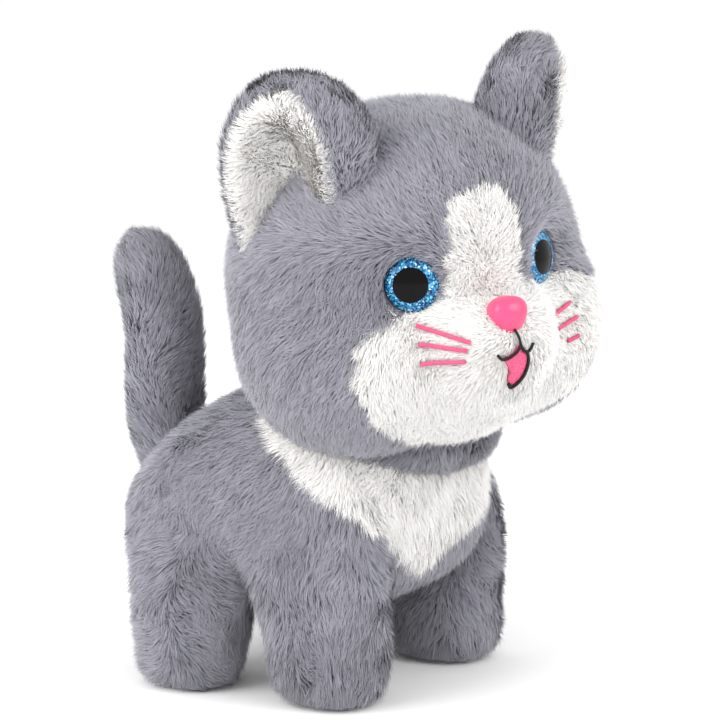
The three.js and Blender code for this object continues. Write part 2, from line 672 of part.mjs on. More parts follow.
const bridgeY = BATTERY.yFront + BATTERY.length + GAP;
add('contact_bridge', box(-14, 14, bridgeY, bridgeY + 0.6, 41, 51), STEEL);

// ---------------------------------------------------------------- chassis halves
const DOOR = { halfX: 17, front: -35.8, rear: 24, bottom: 33.4, top: 35.6 };
const DOOR_HINGE = { y: 25.6, z: 34.3, radius: 1.1 };
const DOOR_SCREW_Y = -33.9;
const LUG = { x0: 13, x1: 16, front: 23.8, rear: 27.4, bottom: 32.4 };
const BAY_MOUTH_REAR = 23;
const SWITCH = { y0: 30, y1: 33, x0: -3.8, x1: -0.2, bottom: 33.6, top: 41.4 };
const BUTTON = { y: 10, stem: 2.9, cap: 6, bottom: 78.5, capTop: 97 };

function chassisHalf(side) {
  const { halfX, halfY, bottom, top, wall } = CHASSIS;
  const seam = 0.15;
  let half = box(seam, halfX, -halfY, halfY, bottom, top);
  half = half.subtract(box(-1, halfX - wall, BAY_FRONT, BAY_MOUTH_REAR, bottom - 1, PARTITION.bottom));
  half = half.subtract(box(-1, halfX - wall, BAY_FRONT, BAY_REAR, bottom + 1.5, PARTITION.bottom));
  half = half.subtract(box(-1, halfX - wall, -halfY + wall, halfY - wall, PARTITION.top, top - wall));
  [HIP_FRONT_Y, HIP_REAR_Y].forEach((y) => {
    half = half.add(cylinderX(halfX - 0.5, LEVER_IN - GAP, y, HIP_Z, 6, 14));
    half = half.add(cylinderX(halfX - 0.5, LEVER_OUT + 0.3, y, HIP_Z, HIP_PIN_R, 14));
    half = half.subtract(cylinderX(halfX + 1, LEVER_OUT + 2, y, HIP_Z, 1.35, 10));
  });
  half = half.subtract(cylinderX(halfX - 4, halfX + 1, CRANK_Y, GEAR_Z, AXLE_R + 0.15, 16));
  if (side > 0) {
    [IDLER_1_Y, IDLER_2_Y].forEach((y) => {
      half = half.subtract(cylinderX(halfX - wall - 1, halfX - 0.7, y, GEAR_Z, 1.35, 12));
    });
  }
  const switchSlot = box(-4.2, 4.2, SWITCH.y0 - GAP, SWITCH.y1 + GAP, bottom - 1, SWITCH.top + GAP);
  half = half.subtract(switchSlot);
  half = half.subtract(cylinderZ(0, DOOR_SCREW_Y, bottom - 1, bottom + 8, 1.8, 12));
  half = half.subtract(cylinderZ(0, BUTTON.y, top - 4, top + 1, BUTTON.stem + 0.3, 16));
  half = half.subtract(cylinderY(0, halfY - 4, halfY + 1, TAIL_PIVOT_Z, 2.2, 16));
  half = half.subtract(cylinderZ(0, NECK_Y, top - 4, top + 1, 4.3, 16));
  half = half.add(box(LUG.x0, LUG.x1, LUG.front, LUG.rear, LUG.bottom, bottom + 0.5));
  const holeR = DOOR_HINGE.radius + 0.25;
  half = half.subtract(cylinderX(LUG.x0 - 1, LUG.x1 + 1, DOOR_HINGE.y, DOOR_HINGE.z, holeR, 14));
  return mirrorIfRight(half, side);
}
add('chassis_left', chassisHalf(1), WHITE_ABS);
add('chassis_right', chassisHalf(-1), WHITE_ABS);

let door = box(-DOOR.halfX, DOOR.halfX, DOOR.front, LUG.front - GAP, DOOR.bottom, DOOR.top);
door = door.add(box(-LUG.x0 + GAP, LUG.x0 - GAP, DOOR.front, DOOR_HINGE.y, DOOR.bottom, DOOR_HINGE.z + 0.9));
door = door.add(cylinderX(-LUG.x1, LUG.x1, DOOR_HINGE.y, DOOR_HINGE.z, DOOR_HINGE.radius, 14));
door = door.subtract(cylinderZ(0, DOOR_SCREW_Y, DOOR.bottom - 1, DOOR.top + 1, 1.7, 16));
add('battery_door', door, WHITE_ABS);
let doorScrew = cylinderZ(0, DOOR_SCREW_Y, 32, DOOR.bottom - 0.2, 2.5, 12);
doorScrew = doorScrew.add(cylinderZ(0, DOOR_SCREW_Y, 33, 42, 1.3, 10));
doorScrew = doorScrew.subtract(box(-1.8, 1.8, DOOR_SCREW_Y - 0.35, DOOR_SCREW_Y + 0.35, 31, 32.6));
add('door_screw', doorScrew, STEEL);

add('power_switch', box(SWITCH.x0, SWITCH.x1, SWITCH.y0, SWITCH.y1, SWITCH.bottom, SWITCH.top), BLACK_ABS);
let button = cylinderZ(0, BUTTON.y, BUTTON.bottom, BUTTON.capTop - 1, BUTTON.stem, 16);
button = button.add(cylinderZ(0, BUTTON.y, BUTTON.capTop - 3, BUTTON.capTop, BUTTON.cap, 20));
add('back_button', button, BLACK_ABS);

LEGS.forEach((leg) => {
  let screw = cylinderX(LEVER_OUT + 0.6, LEVER_OUT + 2.2, leg.hipY, HIP_Z, 5.2, 12);
  screw = screw.add(cylinderX(22.5, LEVER_OUT + 1, leg.hipY, HIP_Z, 1.15, 10));
  add(`hip_screw_${leg.name}`, mirrorIfRight(screw, leg.side), STEEL);
});

// ---------------------------------------------------------------- neck
const POST = { bottom: 78.6, flangeTop: 84.3, top: 98, radius: 5 };
let neckPost = cylinderZ(0, NECK_Y, POST.bottom, CHASSIS.top + 1, 4, 16);
neckPost = neckPost.add(cylinderZ(0, NECK_Y, CHASSIS.top + 0.3, POST.flangeTop, 9, 16));
neckPost = neckPost.add(cylinderZ(0, NECK_Y, POST.flangeTop - 0.5, POST.top, POST.radius, 20));
add('neck_post', neckPost, WHITE_ABS);

// Boxes and pins of the neck are drawn square to the turned head, about the neck axis.
const atNeck = (body) => shifted(turnedAbout(body, Z_AXIS, HEAD_YAW, [0, 0, 0]), 0, NECK_Y, 0);
const ARM = { inner: 13.5, outer: 16.5, half: 4, bottom: 97, top: 116.5 };
let yoke = cylinderZ(0, 0, POST.flangeTop + GAP, 101, 8.5, 24);
yoke = yoke.subtract(cylinderZ(0, 0, POST.flangeTop - 1, POST.top + GAP, POST.radius + 0.25, 20));
yoke = yoke.add(box(-ARM.outer, ARM.outer, -ARM.half, ARM.half, ARM.bottom + 2, 101));
[-1, 1].forEach((side) => {
  const arm = box(ARM.inner, ARM.outer, -ARM.half, ARM.half, ARM.bottom + 2, ARM.top);
  const pin = cylinderX(ARM.outer - 1, ARM.outer + 3.4, 0, NOD_Z, 2, 14);
  yoke = yoke.add(mirrorIfRight(arm.add(pin), side));
});
add('neck_yoke', atNeck(yoke), WHITE_ABS);

// ---------------------------------------------------------------- head
const CORE = { centre: [-2, 9, -18.6], radii: [26, 21, 20] };
function coreBody(extra) {
  const geometry = new THREE.SphereGeometry(1, 12, 8);
  geometry.scale(...CORE.radii.map((r) => r + extra));
  geometry.translate(...CORE.centre);
  return moved(solid(geometry), headPlace);
}
const armRoom = (extra) => atNeck(box(
  -ARM.outer - 1 - extra, ARM.outer + 1 + extra, -7.6 - extra, 7.6 + extra, 90, 119.5 + extra));
let core = coreBody(0).subtract(armRoom(0));
core = core.subtract(atNeck(cylinderX(-30, 30, 0, NOD_Z, 2.2, 14)));
core = core.subtract(cylinderZ(0, NECK_Y, 90, 104.5, 14, 20));
add('head_core', core, CORE_PP);

// A round piece sewn into the head: drawn along -Y from its seat, then aimed outward.
function seated([x, y, z], [ax, ay, az]) {
  const aim = new THREE.Quaternion().setFromUnitVectors(
    new THREE.Vector3(0, -1, 0), new THREE.Vector3(ax, ay, az).normalize());
  return headPlace.clone().multiply(new THREE.Matrix4().compose(
    new THREE.Vector3(x, y, z), aim, new THREE.Vector3(1, 1, 1)));
}

const EYE_AIM = [0.42, -0.9, 0.08];
const eyeSeat = (side) => seated(
  [side * EYE.side, -EYE.ahead, EYE.up], [side * EYE_AIM[0], EYE_AIM[1], EYE_AIM[2]]);
const noseSeat = seated([0, -NOSE.ahead, NOSE.up], [0, -1, 0.06]);
const WASHER_DEPTH = 11;
const SHANK_END = 17;

const EYE_SINK = 3.4;
function eyeBody() {
  const cap = [];
  for (let i = 0; i <= 4; i += 1) {
    const t = (Math.PI / 2) * (i / 4);
    cap.push([EYE.radius * Math.sin(t), EYE.dome * Math.cos(t)]);
  }
  const profile = [
    new THREE.Vector2(0, EYE_SINK - SHANK_END), new THREE.Vector2(EYE.shank, EYE_SINK - SHANK_END),
    new THREE.Vector2(EYE.shank, -1.5), new THREE.Vector2(EYE.radius, -1.5),
    ...cap.reverse().map(([r, h]) => new THREE.Vector2(r, h)),
  ];
  profile[profile.length - 1].x = 0;
  const geometry = new THREE.LatheGeometry(profile, 18);
  geometry.rotateX(Math.PI);
  geometry.translate(0, EYE_SINK, 0);
  return solid(geometry);
}

function noseShape(extra) {
  const w = NOSE.halfWidth + extra;
  const h = NOSE.halfHeight + extra;
  const shape = new THREE.Shape();
  shape.moveTo(0, h * 0.82);
  shape.bezierCurveTo(w * 0.9, h * 1.05, w * 1.15, h * 0.3, w * 0.72, -h * 0.2);
  shape.bezierCurveTo(w * 0.45, -h * 0.6, w * 0.2, -h, 0, -h);
  shape.bezierCurveTo(-w * 0.2, -h, -w * 0.45, -h * 0.6, -w * 0.72, -h * 0.2);
  shape.bezierCurveTo(-w * 1.15, h * 0.3, -w * 0.9, h * 1.05, 0, h * 0.82);
  return shape;
}

function noseBody() {
  const geometry = new THREE.ExtrudeGeometry(noseShape(-1.6), {
    depth: 2, bevelEnabled: true, bevelThickness: 1.6, bevelSize: 1.6, bevelSegments: 2, curveSegments: 4,
  });
  geometry.rotateX(Math.PI / 2);
  geometry.translate(0, 1, 0);
  return solid(geometry).add(cylinderY(0, 1, SHANK_END, 0, NOSE.shank, 12));
}

const washer = (bore, radius) => cylinderY(0, WASHER_DEPTH, WASHER_DEPTH + 1.4, 0, radius, 20)
  .subtract(cylinderY(0, WASHER_DEPTH - 1, WASHER_DEPTH + 3, 0, bore, 14));
const washerRoom = (shankR, washerR) => cylinderY(0, 0, SHANK_END + 0.6, 0, shankR + 0.35, 12)
  .add(cylinderY(0, WASHER_DEPTH - GAP, WASHER_DEPTH + 1.4 + GAP, 0, washerR + GAP, 16));
const sewnHole = (seatR, shankR, washerR) => cylinderY(0, -20, 5.3, 0, seatR, 20)
  .add(washerRoom(shankR, washerR));

const headHoles = [];
[-1, 1].forEach((side) => {
  const word = side < 0 ? 'right' : 'left';
  add(`eye_${word}`, moved(eyeBody(), eyeSeat(side)), BLUE_EYE);
  add(`eye_washer_${word}`, moved(washer(EYE.shank + 0.05, 6), eyeSeat(side)), NATURAL_POM);
  headHoles.push(moved(sewnHole(EYE.radius + GAP, EYE.shank, 6), eyeSeat(side)));
});
add('nose', moved(noseBody(), noseSeat), PINK_NOSE);
add('nose_washer', moved(washer(NOSE.shank + 0.05, 5), noseSeat), NATURAL_POM);
const noseHole = plateY(noseShape(GAP), -20, 2.8).add(washerRoom(NOSE.shank, 5));
headHoles.push(moved(noseHole, noseSeat));

// White mask: a blaze up the forehead that opens over the cheeks, muzzle and chin.
const MASK_SIDE = [
  [0, 41], [9, 39], [12.5, 33], [13, 18], [12.5, 6], [17, 0.5], [30, -1], [42, -7], [49, -17], [49, -29],
  [41, -39], [26, -46], [0, -49],
];
const maskPrism = (grow) => plateY(outline(grown(bothSides(MASK_SIDE), grow)), -100, -8 + grow);

const HEAD_TURNS = 22;
const HEAD_BANDS = 13;
const wholeHead = headWith(0, HEAD_TURNS, HEAD_BANDS);
const headLayer = (inner, outer) => headWith(outer, HEAD_TURNS, HEAD_BANDS)
  .subtract(headWith(-inner, HEAD_TURNS, HEAD_BANDS));
let facePatch = moved(headLayer(PATCH_THICK, 0).intersect(maskPrism(0)), headPlace);
const faceBed = headLayer(PATCH_THICK + 0.35, 8).intersect(maskPrism(0.35));
let headPlush = moved(wholeHead.subtract(faceBed), headPlace);
headPlush = headPlush.subtract(cylinderZ(0, NECK_Y, 50, 104, NECK_HOLE_R, 32));
headPlush = headPlush.subtract(armRoom(0.8)).subtract(coreBody(GAP));
headHoles.forEach((hole) => {
  headPlush = headPlush.subtract(hole);
  facePatch = facePatch.subtract(hole);
});
facePatch = facePatch.subtract(cylinderZ(0, NECK_Y, 50, 104, NECK_HOLE_R, 32));
add('head_plush', largest(headPlush), GREY_PLUSH);
add('face_patch', largest(facePatch), WHITE_PLUSH);

// ---------------------------------------------------------------- ears
const EAR = { root: [37, -3, 36], tip: [48, -14, 82], aim: [0.72, -0.66, 0.12], halfWidth: 24, cup: 9 };
function earSurface(side, across, up, forward) {
  const root = new THREE.Vector3(...EAR.root);
  const rise = new THREE.Vector3(...EAR.tip).sub(root);
  const front = new THREE.Vector3(...EAR.aim).normalize();
  const width = new THREE.Vector3().crossVectors(rise, front).normalize();
  front.crossVectors(width, rise).normalize();
  const taper = Math.sqrt(Math.max(0, 1 - Math.max(0, up) ** 2.1));
  const half = EAR.halfWidth * (0.16 + 0.84 * taper);
  const curl = EAR.cup * across ** 2 * (0.08 + 0.92 * taper) - 3 * (1 - Math.max(0, up)) ** 2;
  const p = root.addScaledVector(rise, up).addScaledVector(width, half * across);
  p.addScaledVector(front, curl + forward);
  return [side * p.x, p.y, p.z];
}

// Leaf-like solid between a front and a back face, closed round its rim.
function leaf(side, wide, low, high, front, back) {
  const across = 8;
  const rows = 7;
  const rings = [];
  for (let r = 0; r <= rows; r += 1) {
    const up = low + ((high - low) * r) / rows;
    const ring = [];
    for (let i = 0; i <= across; i += 1) {
      ring.push(earSurface(side, wide * ((2 * i) / across - 1), up, front));
    }
    for (let i = across; i >= 0; i -= 1) {
      const a = (2 * i) / across - 1;
      const depth = (front - back) * (1 - 0.75 * a ** 4) * (1 - 0.4 * up);
      ring.push(earSurface(side, wide * a, up, front - depth));
    }
    rings.push(ring);
  }
  return loft(rings);
}
const headRoom = headWith(GAP, HEAD_TURNS, HEAD_BANDS);
[-1, 1].forEach((side) => {
  const word = side < 0 ? 'right' : 'left';
  const ear = leaf(side, 1, -0.3, 1, 0, -8).subtract(headRoom);
  const lining = leaf(side, 0.84, -0.3, 0.9, 2.2, GAP).subtract(headRoom);
  add(`ear_${word}`, moved(ear, headPlace), GREY_PLUSH);
  add(`ear_lining_${word}`, moved(lining, headPlace), LINING_PLUSH);
});

// ---------------------------------------------------------------- tail
const TAIL_PATH = [
  { y: 47.5, z: 65, r: 12.5 }, { y: 53, z: 66, r: 13 }, { y: 58, z: 69.5, r: 13.3 },
  { y: 61.3, z: 76, r: 13.6 }, { y: 62.6, z: 85, r: 14.3 }, { y: 62.8, z: 98, r: 15 },
  { y: 62.6, z: 112, r: 15.2 }, { y: 64.4, z: 126, r: 15 }, { y: 68.3, z: 137.5, r: 14 },
  { y: 72, z: 145.5, r: 11.5 }, { y: 74.6, z: 150.5, r: 7.5 }, { y: 76, z: 152.8, r: 3 },
];
function tailBody() {
  const rings = TAIL_PATH.map(({ y, z, r }, i) => {
    const before = TAIL_PATH[Math.max(0, i - 1)];
    const after = TAIL_PATH[Math.min(TAIL_PATH.length - 1, i + 1)];
    const run = new THREE.Vector3(0, after.y - before.y, after.z - before.z).normalize();
    const side = new THREE.Vector3().crossVectors(X_AXIS, run);
    const ring = [];
    for (let s = 0; s < 16; s += 1) {
      const t = (2 * Math.PI * s) / 16;
      ring.push([r * Math.cos(t), y + side.y * r * Math.sin(t), z + side.z * r * Math.sin(t)]);
    }
    return ring;
  });
  return loft(rings);
}

const PIVOT = { front: CHASSIS.halfY + 0.7, rear: CHASSIS.halfY + 4, hub: 6, pin: 2 };
function tailArmBody(extra) {
  const bar = outline(grown([
    [PIVOT.front, 68.8], [58.5, 69.6], [65.1, 80], [65.1, 120], [60.1, 120], [60.1, 83], [55.5, 72.8],
    [PIVOT.front, 71.5],
  ], extra));
  const hub = cylinderY(0, PIVOT.front - extra, PIVOT.rear + extra, TAIL_PIVOT_Z, PIVOT.hub + extra, 16);
  return plateX(bar, -2.5 - extra, 2.5 + extra).add(hub);
}
add('tail_plush', tailBody().subtract(tailArmBody(GAP)), GREY_PLUSH);
const pivotBore = cylinderY(0, PIVOT.front - 1, PIVOT.rear + 1, TAIL_PIVOT_Z, PIVOT.pin + 0.2, 14);
add('tail_arm', tailArmBody(0).subtract(pivotBore), WHITE_ABS);
let tailPin = cylinderY(0, CHASSIS.halfY - 2.8, PIVOT.rear + 0.8, TAIL_PIVOT_Z, PIVOT.pin, 14);
tailPin = tailPin.add(cylinderY(0, PIVOT.rear + 0.4, PIVOT.rear + 1.6, TAIL_PIVOT_Z, 3.4, 14));
add('tail_pin', tailPin, STEEL);

// ---------------------------------------------------------------- torso
let torso = torsoBody(0);
let torsoInner = torsoBody(PATCH_THICK);
const torsoCuts = [
  box(-CHASSIS.halfX - 0.5, CHASSIS.halfX + 0.5, -CHASSIS.halfY - 1, CHASSIS.halfY + 0.6,
    10, CHASSIS.top + 0.5),
  box(-34.2, 34.2, -41, 32, 49.5, 77),
  cylinderZ(0, BUTTON.y, CHASSIS.top - 1, BUTTON.capTop + 0.6, BUTTON.cap + 0.8, 20),
  cylinderZ(0, NECK_Y, CHASSIS.top - 1, 120, 12, 24),
  cylinderY(0, CHASSIS.halfY, 52, TAIL_PIVOT_Z, 8, 20),
  headSweep(),
];
LEGS.forEach((leg) => {
  const fan = fanOutline([leg.hipY, HIP_Z], HIP_DISC_R + 0.8, FOOT_R + 1, 42, SWING_DEG + 1, true);
  torsoCuts.push(mirrorIfRight(plateX(fan, 34.4, 70), leg.side));
  const low = plateX(fan, 15.5, 36).intersect(box(0, 70, -80, 80, 0, 52));
  torsoCuts.push(mirrorIfRight(low, leg.side));
});
const tailFan = fanOutline([0, TAIL_PIVOT_Z], 14.2, 16, 30, TAIL_SWING_DEG + 2, false);
torsoCuts.push(plateY(tailFan, 44.8, 90));

const BIB_SIDE = [[0, 37], [8, 43], [20, 51], [31, 60], [33.6, 72], [33.6, 100], [0, 100]];
const bibPrism = (grow) => plateY(outline(grown(bothSides(BIB_SIDE), grow)), -80, -44 + grow);
torsoCuts.forEach((cut) => { torso = torso.subtract(cut); });
const bib = torso.subtract(torsoInner).intersect(bibPrism(0));
const bibBed = torsoBody(-8).subtract(torsoBody(PATCH_THICK + 0.35)).intersect(bibPrism(0.35));
add('torso_plush', largest(torso.subtract(bibBed)), GREY_PLUSH);
add('bib_patch', largest(bib), WHITE_PLUSH);

export default group;
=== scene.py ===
"""Looks of the walking plush kitten: stuffed skins, pile, face, ears, tail and materials.

Shapes are drawn in millimetres in the drawing frame of the CAD (the kitten faces -Y, its left
is +X) and moved to the row's frame, in metres, when a mesh is made.
"""

import json
import math

import bmesh
import bpy
import numpy as np
from mathutils import Matrix, Vector


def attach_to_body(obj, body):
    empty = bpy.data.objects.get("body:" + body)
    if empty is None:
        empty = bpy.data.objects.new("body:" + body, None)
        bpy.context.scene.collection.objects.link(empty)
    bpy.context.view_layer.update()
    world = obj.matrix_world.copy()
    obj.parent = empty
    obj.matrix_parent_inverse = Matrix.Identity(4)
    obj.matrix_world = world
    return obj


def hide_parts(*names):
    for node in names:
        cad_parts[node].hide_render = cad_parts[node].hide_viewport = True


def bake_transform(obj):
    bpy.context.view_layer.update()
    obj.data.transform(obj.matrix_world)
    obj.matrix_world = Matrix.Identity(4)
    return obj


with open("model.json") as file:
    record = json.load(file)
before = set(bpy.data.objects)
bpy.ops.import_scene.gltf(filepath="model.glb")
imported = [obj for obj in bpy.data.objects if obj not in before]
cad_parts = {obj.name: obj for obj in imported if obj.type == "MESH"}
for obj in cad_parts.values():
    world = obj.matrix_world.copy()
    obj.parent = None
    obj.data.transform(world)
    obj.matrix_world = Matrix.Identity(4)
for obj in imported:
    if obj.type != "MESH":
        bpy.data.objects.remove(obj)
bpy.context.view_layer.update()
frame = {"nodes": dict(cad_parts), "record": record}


MM = 0.001
SHIFT = np.array([7.8, 7.5, 0.0])    # drawing origin to the row's origin
INSET = 3.0                          # how far the sewn skins lie under the CAD's stuffed shapes
HIP_Z = 60.0
HIP_Y = {"front": -30.5, "rear": 21.0}
STRIDE = 5                           # degrees off upright: right legs back, left legs ahead


# ---- camera, light and floor
def aim(obj, target):
    look = Vector(target) - obj.location
    obj.rotation_euler = look.to_track_quat("-Z", "Y").to_euler()


def place_camera():
    azimuth, elevation, distance = math.radians(-60), math.radians(8), 0.700
    target = Vector((0.0078, -0.0025, 0.110))
    out = Vector((math.sin(azimuth) * math.cos(elevation),
                  -math.cos(azimuth) * math.cos(elevation), math.sin(elevation)))
    data = bpy.data.cameras.new("camera")
    data.sensor_width = 36
    data.lens = 101.5
    data.shift_x = 0.02986
    data.shift_y = -0.0057
    data.clip_start = 0.01
    cam = bpy.data.objects.new("camera", data)
    bpy.context.scene.collection.objects.link(cam)
    cam.location = target + out * distance
    aim(cam, target)
    bpy.context.scene.camera = cam


def soft_light(name, place, target, size, watts):
    data = bpy.data.lights.new(name, "AREA")
    data.shape = "RECTANGLE"
    data.size, data.size_y = size
    data.energy = watts
    lamp = bpy.data.objects.new(name, data)
    bpy.context.scene.collection.objects.link(lamp)
    lamp.location = place
    aim(lamp, target)


def studio():
    scene = bpy.context.scene
    scene.view_settings.view_transform = "Standard"
    world = bpy.data.worlds.new("studio")
    scene.world = world
    world.use_nodes = True
    back = world.node_tree.nodes["Background"]
    back.inputs["Color"].default_value = (1.0, 1.0, 1.0, 1)
    back.inputs["Strength"].default_value = 1.03
    middle = (0, 0, 0.11)
    soft_light("key", (-0.95, 0.50, 0.68), middle, (0.8, 0.8), 10.5)
    soft_light("window", (-0.05, -1.0, 0.65), middle, (0.45, 0.6), 5.0)
    bpy.ops.mesh.primitive_plane_add(size=60, location=(0, 0, -0.0004))   # out to the horizon
    floor = bpy.context.object
    floor.name = "floor"
    material = bpy.data.materials.new("floor")
    material.use_nodes = True
    shader = material.node_tree.nodes["Principled BSDF"]
    shader.inputs["Base Color"].default_value = (0.99, 0.99, 0.99, 1)
    shader.inputs["Roughness"].default_value = 0.9
    floor.data.materials.append(material)


# ---- materials
class Nodes:
    """A material with a Principled shader, and short ways to add nodes to it."""

    def __init__(self, name, roughness, **constants):
        self.material = bpy.data.materials.new(name)
        self.material.use_nodes = True
        self.tree = self.material.node_tree
        self.shader = self.tree.nodes["Principled BSDF"]
        self.shader.inputs["Roughness"].default_value = roughness
        for key, value in constants.items():
            self.shader.inputs[key.replace("_", " ")].default_value = value

    def node(self, kind, inputs=None, **settings):
        made = self.tree.nodes.new(kind)
        for key, value in settings.items():
            setattr(made, key, value)
        for key, value in (inputs or {}).items():
            made.inputs[key].default_value = value
        return made

    def link(self, a, b):
        self.tree.links.new(a, b)

    def place(self, scale):
        coords = self.node("ShaderNodeTexCoord")
        scale = (scale,) * 3 if np.isscalar(scale) else scale
        mapping = self.node("ShaderNodeMapping", {"Scale": scale})
        self.link(coords.outputs["Object"], mapping.inputs["Vector"])
        return mapping.outputs["Vector"]

    def noise(self, scale):
        made = self.node("ShaderNodeTexNoise", {"Scale": 1.0, "Detail": 3, "Roughness": 0.55})
        self.link(self.place(scale), made.inputs["Vector"])
        return made.outputs["Fac"]

    def ramp(self, value, stops):
        made = self.node("ShaderNodeValToRGB")
        elements = made.color_ramp.elements
        while len(elements) < len(stops):
            elements.new(0.5)
        for element, (place, color) in zip(elements, stops):
            element.position = place
            element.color = (*color, 1)
        self.link(value, made.inputs["Fac"])
        return made.outputs["Color"]

    def multiply(self, factor, a, b):
        made = self.node("ShaderNodeMix", data_type="RGBA", blend_type="MULTIPLY")
        made.inputs["Factor"].default_value = factor
        self.link(a, made.inputs["A"])
        self.link(b, made.inputs["B"])
        return made.outputs["Result"]

    def color(self, source):
        self.link(source, self.shader.inputs["Base Color"])
        return self

    def bump(self, height, strength, distance):
        made = self.node("ShaderNodeBump", {"Strength": strength, "Distance": distance})
        self.link(height, made.inputs["Height"])
        self.link(made.outputs["Normal"], self.shader.inputs["Normal"])
        return self


def tone(r, g, b):
    """A colour given as 0 to 255 screen values."""
    def channel(c):
        c /= 255
        return c / 12.92 if c <= 0.04045 else ((c + 0.055) / 1.055) ** 2.4
    return channel(r), channel(g), channel(b)


def scaled(color, factor):
    return tuple(min(1.0, c * factor) for c in color)


STRAND_UV = "OFBake"    # the one UV layer of a pile: u is the strand's tint, v runs root to tip


def pile_material(name, root, middle, tip, darkest):
    m = Nodes(name, 0.8, Specular_IOR_Level=0.15, Sheen_Weight=0.2, Sheen_Roughness=0.7)
    coords = m.node("ShaderNodeUVMap", uv_map=STRAND_UV)
    split = m.node("ShaderNodeSeparateXYZ")
    m.link(coords.outputs["UV"], split.inputs["Vector"])
    # Darker at the root and lighter at the tip: painted shade deep in the pile and painted light on
    # the tips.
    along = m.ramp(split.outputs["Y"], [(0.0, root), (0.45, middle), (1.0, tip)])
    tint = m.ramp(split.outputs["X"], [(0.0, (darkest, darkest, darkest)), (1.0, (1.0, 1.0, 1.0))])
    m.color(m.multiply(1.0, along, tint))
    return m.material


def cloth_material(name, dark, light):
    """The knitted backing that the pile grows from."""
    m = Nodes(name, 0.95, Sheen_Weight=0.3)
    knit = m.node("ShaderNodeTexWave", {"Scale": 1.0, "Distortion": 2.0}, wave_type="BANDS")
    m.link(m.place(500), knit.inputs["Vector"])
    m.color(m.ramp(m.noise(260), [(0.3, dark), (0.7, light)]))
    return m.bump(knit.outputs["Fac"], 0.3, 0.0003).material


def plastic_material(name, color, roughness, **constants):
    """Moulded plastic: a little uneven in colour, with a fine moulding grain."""
    m = Nodes(name, roughness, **constants)
    m.color(m.ramp(m.noise(70), [(0.35, scaled(color, 0.9)), (0.65, scaled(color, 1.06))]))
    return m.bump(m.noise(1500), 0.08, 0.0002).material


def metal_material(name, color, roughness):
    """Drawn or rolled metal, with streaks along one way."""
    m = Nodes(name, roughness, Metallic=0.9)
    brushed = m.noise((40, 900, 900))
    m.color(m.ramp(brushed, [(0.3, scaled(color, 0.8)), (0.7, scaled(color, 1.15))]))
    return m.bump(m.noise((60, 1600, 1600)), 0.1, 0.0001).material


def cell_material():
    """Wrapped battery: dark sleeve with a lighter band near one end."""
    band = tone(190, 160, 90)
    m = Nodes("battery_sleeve", 0.3)
    coords = m.node("ShaderNodeTexCoord")
    split = m.node("ShaderNodeSeparateXYZ")
    m.link(coords.outputs["Object"], split.inputs["Vector"])
    level = m.node("ShaderNodeMapRange", {"From Min": -0.02, "From Max": 0.04})
    m.link(split.outputs["Y"], level.inputs["Value"])
    sleeve = m.ramp(level.outputs["Result"], [(0.0, tone(60, 78, 70)), (0.7, tone(56, 74, 68)),
                                              (0.72, band), (1.0, band)])
    wear = m.ramp(m.noise(90), [(0.3, (0.75, 0.75, 0.75)), (0.7, (1, 1, 1))])
    return m.color(m.multiply(0.4, sleeve, wear)).material


def glitter_material():
    """Blue glitter under clear lacquer: small flakes from deep to light blue, partly the glitter's
    own colours and partly painted sparkle, the near white flakes being painted glints off tilted
    flakes.
    """
    m = Nodes("eye_glitter", 0.25, Metallic=0.3, Specular_IOR_Level=0.3, Coat_Weight=0.3,
              Coat_Roughness=0.03)
    flakes = m.node("ShaderNodeTexVoronoi", {"Scale": 1.0}, feature="F1")
    m.link(m.place(1900), flakes.inputs["Vector"])
    split = m.node("ShaderNodeSeparateColor")
    m.link(flakes.outputs["Color"], split.inputs["Color"])
    m.color(m.ramp(split.outputs["Red"], [
        (0.0, tone(6, 34, 66)), (0.30, tone(10, 74, 126)), (0.58, tone(26, 122, 178)),
        (0.82, tone(72, 172, 212)), (0.95, tone(150, 222, 240)), (1.0, tone(228, 246, 252))]))
    return m.material


def thread_material(name, color):
    """Shiny embroidery thread."""
    m = Nodes(name, 0.5, Specular_IOR_Level=0.3)
    m.color(m.ramp(m.noise(1300), [(0.25, scaled(color, 0.62)), (0.75, scaled(color, 1.15))]))
    return m.bump(m.noise(2600), 0.25, 0.0002).material


# Pile colours from root to tip; the darker roots are painted shade deep in the pile and the lighter
# tips painted light.
GREY_SHADED_ROOT, GREY_MID, GREY_TIP = tone(112, 111, 122), tone(156, 155, 167), tone(182, 181, 192)
WHITE_SHADED_ROOT, WHITE_MID, WHITE_TIP = tone(240, 237, 233), tone(250, 248, 245), tone(254, 253, 251)
materials = {
    "grey_pile": pile_material("grey_pile", GREY_SHADED_ROOT, GREY_MID, GREY_TIP, 0.58),
    "white_pile": pile_material("white_pile", WHITE_SHADED_ROOT, WHITE_MID, WHITE_TIP, 0.9),
    # The grey backing is darker than the grey pile: painted shade in the gaps between strands.
    "grey_cloth": cloth_material("grey_cloth", tone(96, 95, 106), tone(128, 126, 138)),
    "white_cloth": cloth_material("white_cloth", tone(226, 222, 218), tone(244, 241, 237)),
    "glitter": glitter_material(),
    "pupil": plastic_material("eye_pupil", tone(5, 5, 7), 0.06, Specular_IOR_Level=0.14),
    # The eye's dark rim is partly its own edge and partly painted shade where the pile round it
    # overhangs.
    "eye_rim_and_shade": plastic_material("eye_rim_and_shade", tone(12, 20, 34), 0.3),
    "nose": plastic_material("nose_vinyl", tone(236, 70, 118), 0.38, Coat_Weight=0.1),
    "pink_thread": thread_material("pink_thread", tone(228, 92, 132)),
    "black_thread": thread_material("black_thread", tone(20, 19, 22)),
}

CLOTH = {"grey_plush": "grey_cloth", "white_plush": "white_cloth", "lining_plush": "white_cloth"}
PILE = {"grey_plush": "grey_pile", "white_plush": "white_pile", "lining_plush": "white_pile"}


